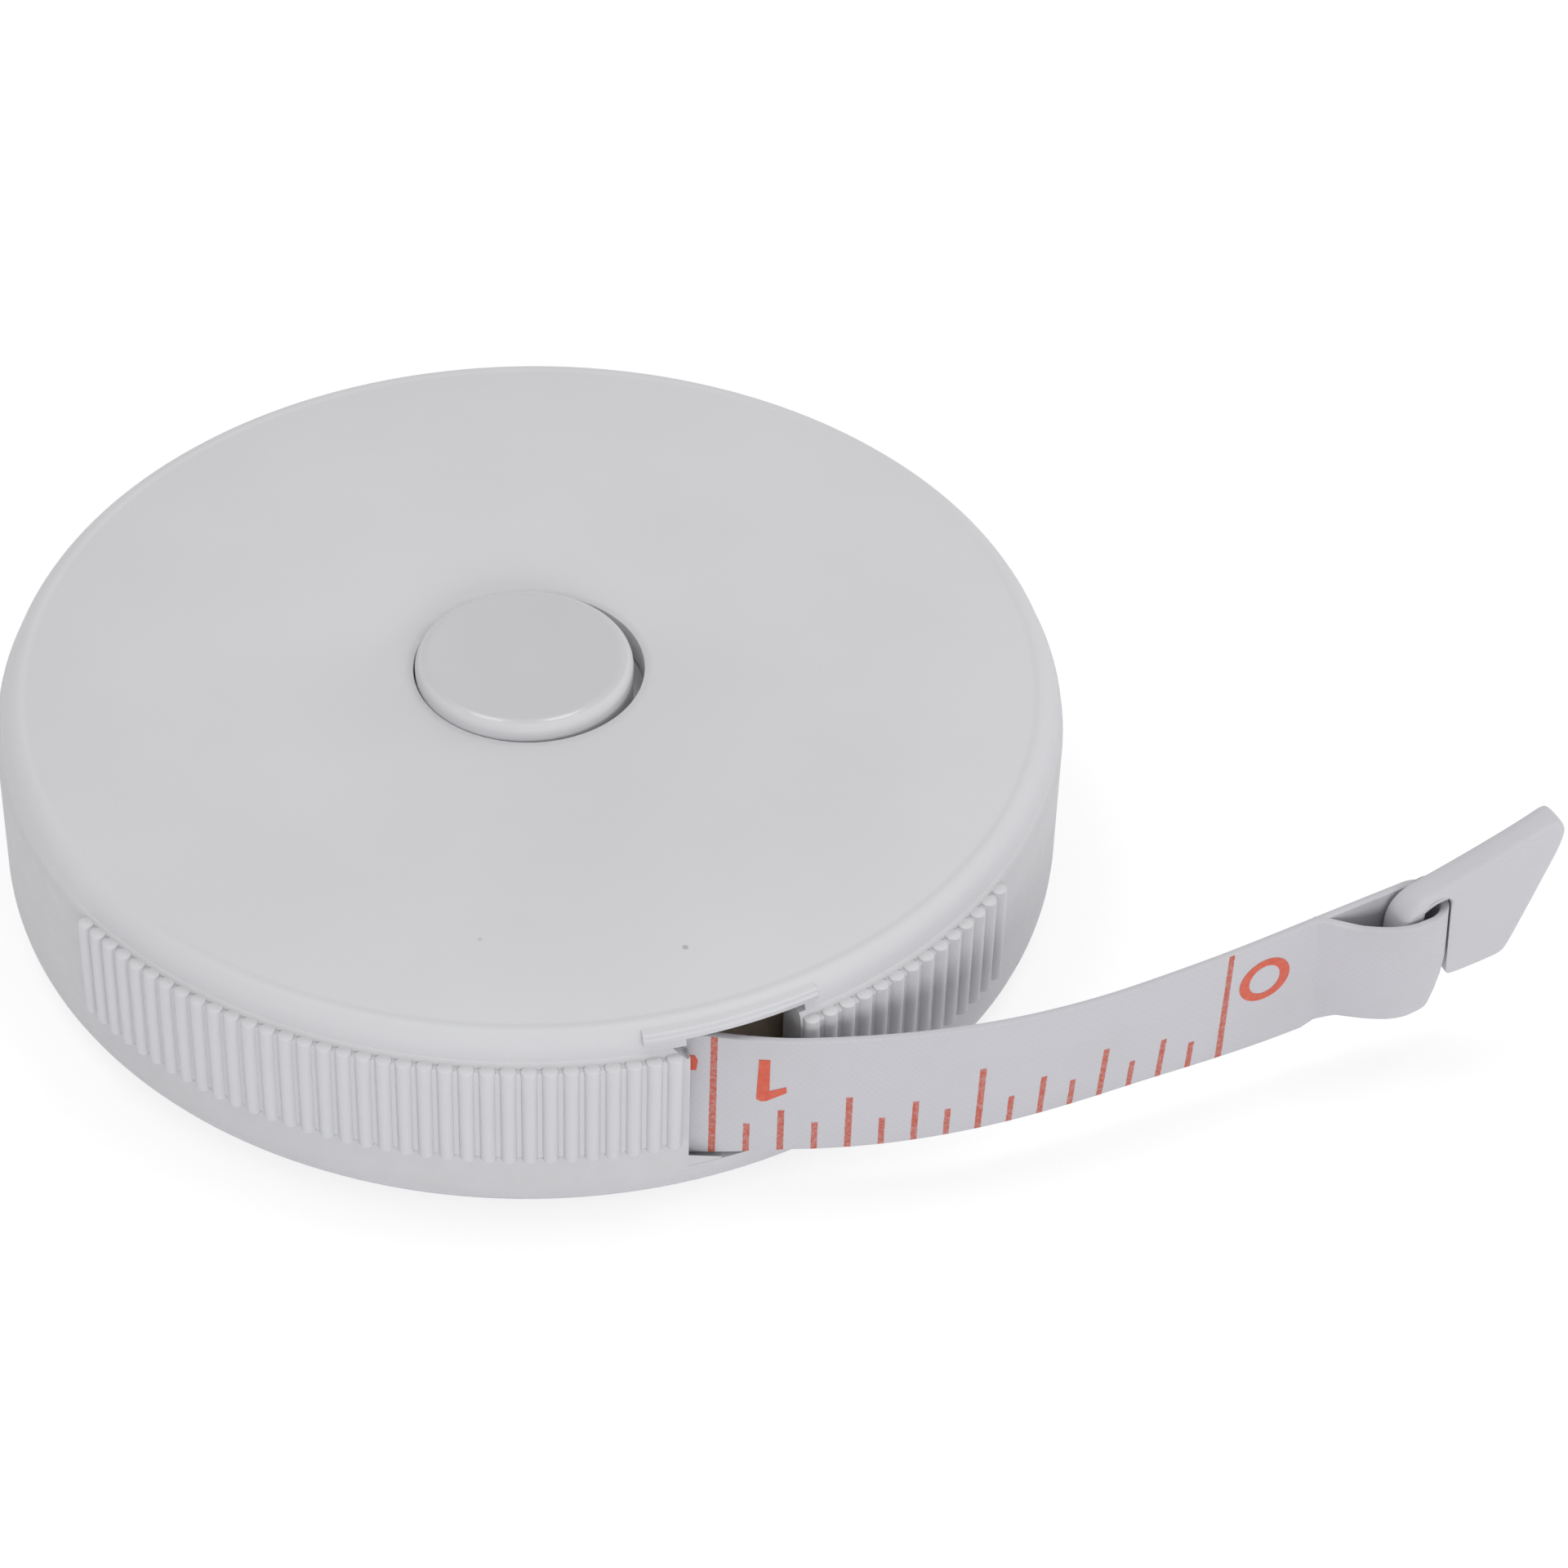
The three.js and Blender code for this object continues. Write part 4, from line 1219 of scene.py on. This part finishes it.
# painted highlight: a lighter ring of colour near the button's rounded edge
rim = place_group(tree, band_group, Radius=5.45 * mm, Width=0.35 * mm, Breakup=0.6)
painted_rim_highlight = calculate(tree, "MULTIPLY", rim.outputs["Mask"], 0.3)
colour = blend_colours(tree, painted_rim_highlight, colour, seen_as(210, 210, 212))
connect(tree, shader.inputs["Base Color"], colour)
stretched = add_node(tree, "ShaderNodeMapping", Vector=object_place(tree))
stretched.inputs["Rotation"].default_value = (0, 0, 25 * degree)
stretched.inputs["Scale"].default_value = (0.08, 1, 1)
scratches = noise(tree, stretched.outputs["Vector"], 9000, 2, 0.4)
connect(tree, shader.inputs["Roughness"], remap(tree, scratches, 0.35, 0.75, 0.24, 0.27))
heights = calculate(tree, "ADD", scratches, calculate(tree, "MULTIPLY", grain.outputs["Grain"], 0.5))
add_bump(tree, shader, heights, 0.02, 0.01 * mm)
print("made", button_plastic.name)

# %% [markdown]
# The tape is glass fibre cloth with a white coating. The weave shows through the coating as a very
# fine chequered relief: where one thread passes over, the next passes under. A product of two
# sine waves has just that pattern, so no picture of cloth is needed.

# %% Node group: plain weave
weave_group, given, result = start_group("plain_weave", ["Run", "Height", "Pitch"], ["Relief"])
waves = []
for socket in ("Run", "Height"):
    turns = calculate(weave_group, "DIVIDE", given.outputs[socket], given.outputs["Pitch"])
    waves.append(calculate(weave_group, "SINE", calculate(weave_group, "MULTIPLY", turns, math.pi)))
crossing = calculate(weave_group, "MULTIPLY", *waves)
slub = noise(weave_group, object_place(weave_group), 2600, 3, 0.6)
relief = calculate(weave_group, "ADD", calculate(weave_group, "MULTIPLY", crossing, 0.5), slub)
connect(weave_group, result.inputs["Relief"], relief)
print("plain_weave:", len(weave_group.nodes), "nodes")

# %% [markdown]
# The scale is printed across the cloth: a short line every sixteenth of an inch, longer ones at
# every eighth, quarter and half, and one the full width at every inch. Each length is a set of lines of
# its own spacing, so one group, placed five times, draws them all. The back is in millimetres.

# %% Node group: one set of scale lines
lines_group, given, result = start_group(
    "scale_lines", ["Run", "Share", "Zero", "Spacing", "Thickness", "Length"], ["Mask"]
)
rough_edge = 0.06
end_blur = 0.008
from_zero = calculate(lines_group, "SUBTRACT", given.outputs["Zero"], given.outputs["Run"])
count = calculate(lines_group, "DIVIDE", from_zero, given.outputs["Spacing"])
nearest = calculate(lines_group, "ROUND", count)
away = calculate(lines_group, "ABSOLUTE", calculate(lines_group, "SUBTRACT", count, nearest))
away = calculate(lines_group, "MULTIPLY", away, given.outputs["Spacing"])
wobble = noise(lines_group, object_place(lines_group), 3500, 3, 0.6)
half_line = calculate(lines_group, "MULTIPLY", given.outputs["Thickness"], 0.5)
edge = calculate(lines_group, "ADD", away, calculate(lines_group, "MULTIPLY", wobble, rough_edge * mm))
edge = calculate(lines_group, "SUBTRACT", edge, rough_edge / 2 * mm)
ink = remap(lines_group, calculate(lines_group, "DIVIDE", edge, half_line), 0.85, 1.15, 1, 0)
past_end = calculate(lines_group, "SUBTRACT", given.outputs["Share"], given.outputs["Length"])
short = remap(lines_group, past_end, -end_blur, end_blur, 1, 0)
past_zero = calculate(lines_group, "GREATER_THAN", nearest, -0.5)
ink = calculate(lines_group, "MULTIPLY", calculate(lines_group, "MULTIPLY", ink, short), past_zero)
connect(lines_group, result.inputs["Mask"], ink)
print("scale_lines:", len(lines_group.nodes), "nodes")

# %% The coated cloth with its two scales
coated_cloth, tree, shader = start_material("coated_cloth", Specular_IOR_Level=0.35)
uv = add_node(tree, "ShaderNodeUVMap", {"uv_map": "along_tape"})
along_strip = add_node(tree, "ShaderNodeSeparateXYZ", Vector=uv.outputs["UV"])
run, share = along_strip.outputs["X"], along_strip.outputs["Y"]
side = add_node(tree, "ShaderNodeAttribute", {"attribute_name": "cloth_side"}).outputs["Fac"]


def scale_mask(zero, spacing, sets):
    total = 0
    for every, length, thickness in sets:
        lines = place_group(
            tree, lines_group, Run=run, Share=share, Zero=zero * mm,
            Spacing=every * spacing * mm, Thickness=thickness * mm, Length=length,
        )
        total = calculate(tree, "MAXIMUM", total, lines.outputs["Mask"])
    return total


sixteenth = inch / 16
inch_sets = [(1, 0.26, 0.3), (2, 0.38, 0.31), (4, 0.48, 0.32), (8, 0.6, 0.33), (16, 1.2, 0.32)]
metric_sets = [(1, 0.3, 0.22), (5, 0.45, 0.26), (10, 1.2, 0.32)]
front_scale = scale_mask(zero_run, sixteenth, inch_sets)
back_scale = scale_mask(zero_run, 1, metric_sets)
on_front = calculate(tree, "GREATER_THAN", side, 0.5)
on_back = calculate(tree, "LESS_THAN", side, -0.5)
front_ink = calculate(tree, "MULTIPLY", front_scale, on_front)
back_ink = calculate(tree, "MULTIPLY", back_scale, on_back)
height = calculate(tree, "MULTIPLY", share, tape_width * mm)
weave = place_group(tree, weave_group, Run=run, Height=height, Pitch=0.2 * mm)
raised = remap(tree, weave.outputs["Relief"], 0.1, 0.9)
cloth = blend_colours(tree, raised, seen_as(192, 191, 196), seen_as(194, 193, 198))
soiled = remap(tree, noise(tree, object_place(tree), 160, 3, 0.55), 0.45, 0.8, 0, 0.35)
cloth = blend_colours(tree, soiled, cloth, seen_as(181, 180, 181))
worn = remap(tree, noise(tree, object_place(tree), 5200, 3, 0.7), 0.3, 0.62, 0.66, 1)
cloth = blend_colours(tree, calculate(tree, "MULTIPLY", front_ink, worn), cloth, seen_as(184, 90, 72))
cloth = blend_colours(tree, calculate(tree, "MULTIPLY", back_ink, worn), cloth, seen_as(60, 60, 64))
connect(tree, shader.inputs["Base Color"], cloth)
connect(tree, shader.inputs["Roughness"], remap(tree, weave.outputs["Relief"], 0, 1, 0.62, 0.5))
add_bump(tree, shader, weave.outputs["Relief"], 0.06, 0.012 * mm)
print("made", coated_cloth.name, "with", len(tree.nodes), "nodes")

# %% [markdown]
# The numerals are printed in an orange red. Screen ink lies unevenly on a weave, so its colour
# wanders between two reds and thins out here and there, and it is a little glossier than the cloth.

# %% Red ink of the numerals
red_ink, tree, shader = start_material("red_ink", Specular_IOR_Level=0.4)
patches = noise(tree, object_place(tree), 4200, 4, 0.65)
colour = blend_colours(tree, remap(tree, patches, 0.3, 0.7), seen_as(200, 84, 64), seen_as(208, 100, 78))
thin = remap(tree, noise(tree, object_place(tree), 7000, 2, 0.5), 0.62, 0.78, 0, 0.5)
connect(tree, shader.inputs["Base Color"], blend_colours(tree, thin, colour, seen_as(196, 138, 126)))
connect(tree, shader.inputs["Roughness"], remap(tree, patches, 0.2, 0.8, 0.42, 0.55))
add_bump(tree, shader, patches, 0.2, 0.01 * mm)
print("made", red_ink.name)

# %% [markdown]
# Inside are steel, nylon and rubber. The mainspring and the coil springs are blued a little by their
# hardening, and the pins show the fine rings of turning: a noise that only changes with height.

# %% The two steels
def steel(name, bright, dark, rough, rings):
    material, tree, shader = start_material(name)
    place = object_place(tree)
    squeezed = add_node(tree, "ShaderNodeMapping", Vector=place)
    squeezed.inputs["Scale"].default_value = rings
    lines = noise(tree, squeezed.outputs["Vector"], 9000, 2, 0.5)
    stain = noise(tree, place, 350, 3, 0.6)
    colour = blend_colours(tree, remap(tree, stain, 0.35, 0.7), bright, dark)
    connect(tree, shader.inputs["Base Color"], colour)
    connect(tree, shader.inputs["Roughness"], remap(tree, lines, 0.3, 0.7, rough - 0.06, rough + 0.1))
    connect(tree, shader.inputs["Metallic"], remap(tree, stain, 0.7, 0.8, 1, 0.9))
    add_bump(tree, shader, lines, 0.25, 0.01 * mm)
    return material


spring_steel = steel("spring_steel", seen_as(176, 180, 188), seen_as(138, 142, 156), 0.3, (1, 1, 0.05))
pin_steel = steel("pin_steel", seen_as(196, 198, 202), seen_as(170, 172, 176), 0.24, (0.02, 0.02, 1))
print("made", spring_steel.name, "and", pin_steel.name)

# %% Natural nylon and brake rubber
def dull(name, main, deep, rough, grain_scale, relief):
    material, tree, shader = start_material(name, Specular_IOR_Level=0.4)
    grain = place_group(tree, grain_group, Grain_Scale=grain_scale, Drift_Scale=220, Speck_Scale=700)
    colour = blend_colours(tree, grain.outputs["Drift"], main, deep)
    specks = calculate(tree, "MULTIPLY", grain.outputs["Specks"], 0.4)
    connect(tree, shader.inputs["Base Color"], blend_colours(tree, specks, colour, seen_as(70, 64, 58)))
    rough_map = remap(tree, grain.outputs["Grain"], 0.3, 0.7, rough - 0.06, rough + 0.06)
    connect(tree, shader.inputs["Roughness"], rough_map)
    add_bump(tree, shader, grain.outputs["Grain"], 0.4, relief * mm)
    return material


natural_nylon = dull("natural_nylon", seen_as(150, 138, 120), seen_as(136, 124, 106), 0.5, 4200, 0.02)
brake_rubber = dull("brake_rubber", seen_as(52, 50, 49), seen_as(40, 39, 38), 0.82, 3200, 0.04)
print("made", natural_nylon.name, "and", brake_rubber.name)

# %% Give every piece its finish
finishes = {
    case_plastic: [case_cup, grip_ribs, cap_shell],
    button_plastic: [push_cap],
    tab_plastic: [finger_tab],
    spring_steel: [button_coil],
    coated_cloth: [tape_strip],
    red_ink: [printed_numerals],
}
for material, pieces in finishes.items():
    for piece in pieces:
        piece.data.materials.clear()
        piece.data.materials.append(material)

carried_over = {
    natural_nylon: ["lower_liner", "upper_liner", "reel_drum", "drum_lid", "tape_anchor", "brake_lever"],
    spring_steel: ["mainspring", "arbor_clip", "brake_spring"],
    pin_steel: ["spring_arbor", "brake_pin"],
    brake_rubber: ["brake_ring", "brake_pad"],
}
for material, names in carried_over.items():
    for name in names:
        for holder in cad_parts[name].material_slots:
            holder.material = material
        print(name, "is", material.name)

# %% [markdown]
# The wound tape is the same cloth, but the coil inside looks brownish in the photograph's window, and
# from above it shows its edges: hundreds of thin layers side by side. Its object has no UV map, so its
# rings come from the distance to the axis.

# %% The wound layers of the coil
wound_cloth, tree, shader = start_material("wound_cloth", Specular_IOR_Level=0.3)
place = object_place(tree)
distance = distance_from_axis(tree, place)
turns = calculate(tree, "MULTIPLY", distance, 2 * math.pi / (tape_thickness * mm))
layers = calculate(tree, "ADD", calculate(tree, "MULTIPLY", calculate(tree, "SINE", turns), 0.5), 0.5)
dirt = noise(tree, place, 1400, 3, 0.6)
colour = blend_colours(tree, layers, seen_as(186, 168, 148), seen_as(226, 208, 188))
colour = blend_colours(tree, remap(tree, dirt, 0.5, 0.9), colour, seen_as(190, 168, 142))
connect(tree, shader.inputs["Base Color"], colour)
connect(tree, shader.inputs["Roughness"], remap(tree, dirt, 0.2, 0.8, 0.55, 0.75))
add_bump(tree, shader, layers, 0.5, 0.05 * mm)
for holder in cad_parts["tape_coil"].material_slots:
    holder.material = wound_cloth
print("made", wound_cloth.name)

# %% [markdown]
# The photograph was taken in a white tent: light comes from everywhere, and a little more from above
# and in front. The world gives the even part. It is plain white where the camera or a reflection looks
# at it, and weaker as a lamp, so that the whites of the case don't clip. The Standard view then shows
# every colour as it was written.

# %% The world
lamp_strength = 0.59
world = bpy.data.worlds.new("white_tent")
bpy.context.scene.world = world
world.use_nodes = True
tree = world.node_tree
backdrop = tree.nodes["Background"]
rays = tree.nodes.new("ShaderNodeLightPath")
seen = calculate(tree, "MAXIMUM", rays.outputs["Is Camera Ray"], rays.outputs["Is Transmission Ray"])
seen = calculate(tree, "MAXIMUM", seen, rays.outputs["Is Glossy Ray"])
backdrop.inputs["Color"].default_value = (1, 1, 1, 1)
connect(tree, backdrop.inputs["Strength"], remap(tree, seen, 0, 1, lamp_strength, 1))
bpy.context.scene.view_settings.view_transform = "Standard"
print("world set")


# %% Soft lamps: two above, and two low ones in front and at the right
lamp_target = Vector((0, 0, 6 * mm))


def softbox(name, place, size, power):
    bpy.ops.object.select_all(action="DESELECT")
    bpy.ops.object.light_add(type="AREA", location=place)
    lamp = bpy.context.object
    lamp.name = name
    lamp.data.shape = "RECTANGLE"
    lamp.data.size, lamp.data.size_y = size
    lamp.data.energy = power
    lamp.rotation_euler = (lamp_target - Vector(place)).to_track_quat("-Z", "Y").to_euler()
    return lamp


softbox("left_softbox", (-0.17, 0.05, 0.6), (0.28, 0.16), 0.6)
softbox("right_softbox", (0.165, 0.05, 0.6), (0.23, 0.16), 0.6)
front_softbox = softbox("front_softbox", (0.18, -0.74, 0.22), (0.6, 0.25), 1.9)
side_softbox = softbox("side_softbox", (0.8, 0.2, 0.18), (0.4, 0.25), 0.8)
for low_lamp in (front_softbox, side_softbox):
    low_lamp.visible_glossy = False
print("lamps set")

# %% [markdown]
# The floor is pale and plain. For light that bounces off it, it is matt white with a faint glow of its
# own, which adds a little light from below. Where the camera sees it, part of its brightness is its own,
# so it reads as the white ground of the photograph and still keeps the object's soft shadow.

# %% The floor
bpy.ops.object.select_all(action="DESELECT")
bpy.ops.mesh.primitive_plane_add(size=3)
floor = bpy.context.object
floor.name = "studio_floor"
floor_paint = bpy.data.materials.new("floor_paint")
floor_paint.use_nodes = True
tree = floor_paint.node_tree
tree.nodes.remove(tree.nodes["Principled BSDF"])
output = tree.nodes["Material Output"]


def matt_with_glow(colour, strength):
    matt = add_node(tree, "ShaderNodeBsdfDiffuse", Color=colour)
    glow = add_node(tree, "ShaderNodeEmission", Color=(1, 1, 1, 1), Strength=strength)
    both = tree.nodes.new("ShaderNodeAddShader")
    tree.links.new(matt.outputs["BSDF"], both.inputs[0])
    tree.links.new(glow.outputs["Emission"], both.inputs[1])
    return both.outputs["Shader"]


for_bounce = matt_with_glow(seen_as(238, 238, 240), 0.1)
for_camera = matt_with_glow(seen_as(150, 150, 152), 0.74)
rays = tree.nodes.new("ShaderNodeLightPath")
choose = tree.nodes.new("ShaderNodeMixShader")
for socket, value in enumerate((rays.outputs["Is Camera Ray"], for_bounce, for_camera)):
    tree.links.new(value, choose.inputs[socket])
tree.links.new(choose.outputs["Shader"], output.inputs["Surface"])
floor.data.materials.append(floor_paint)
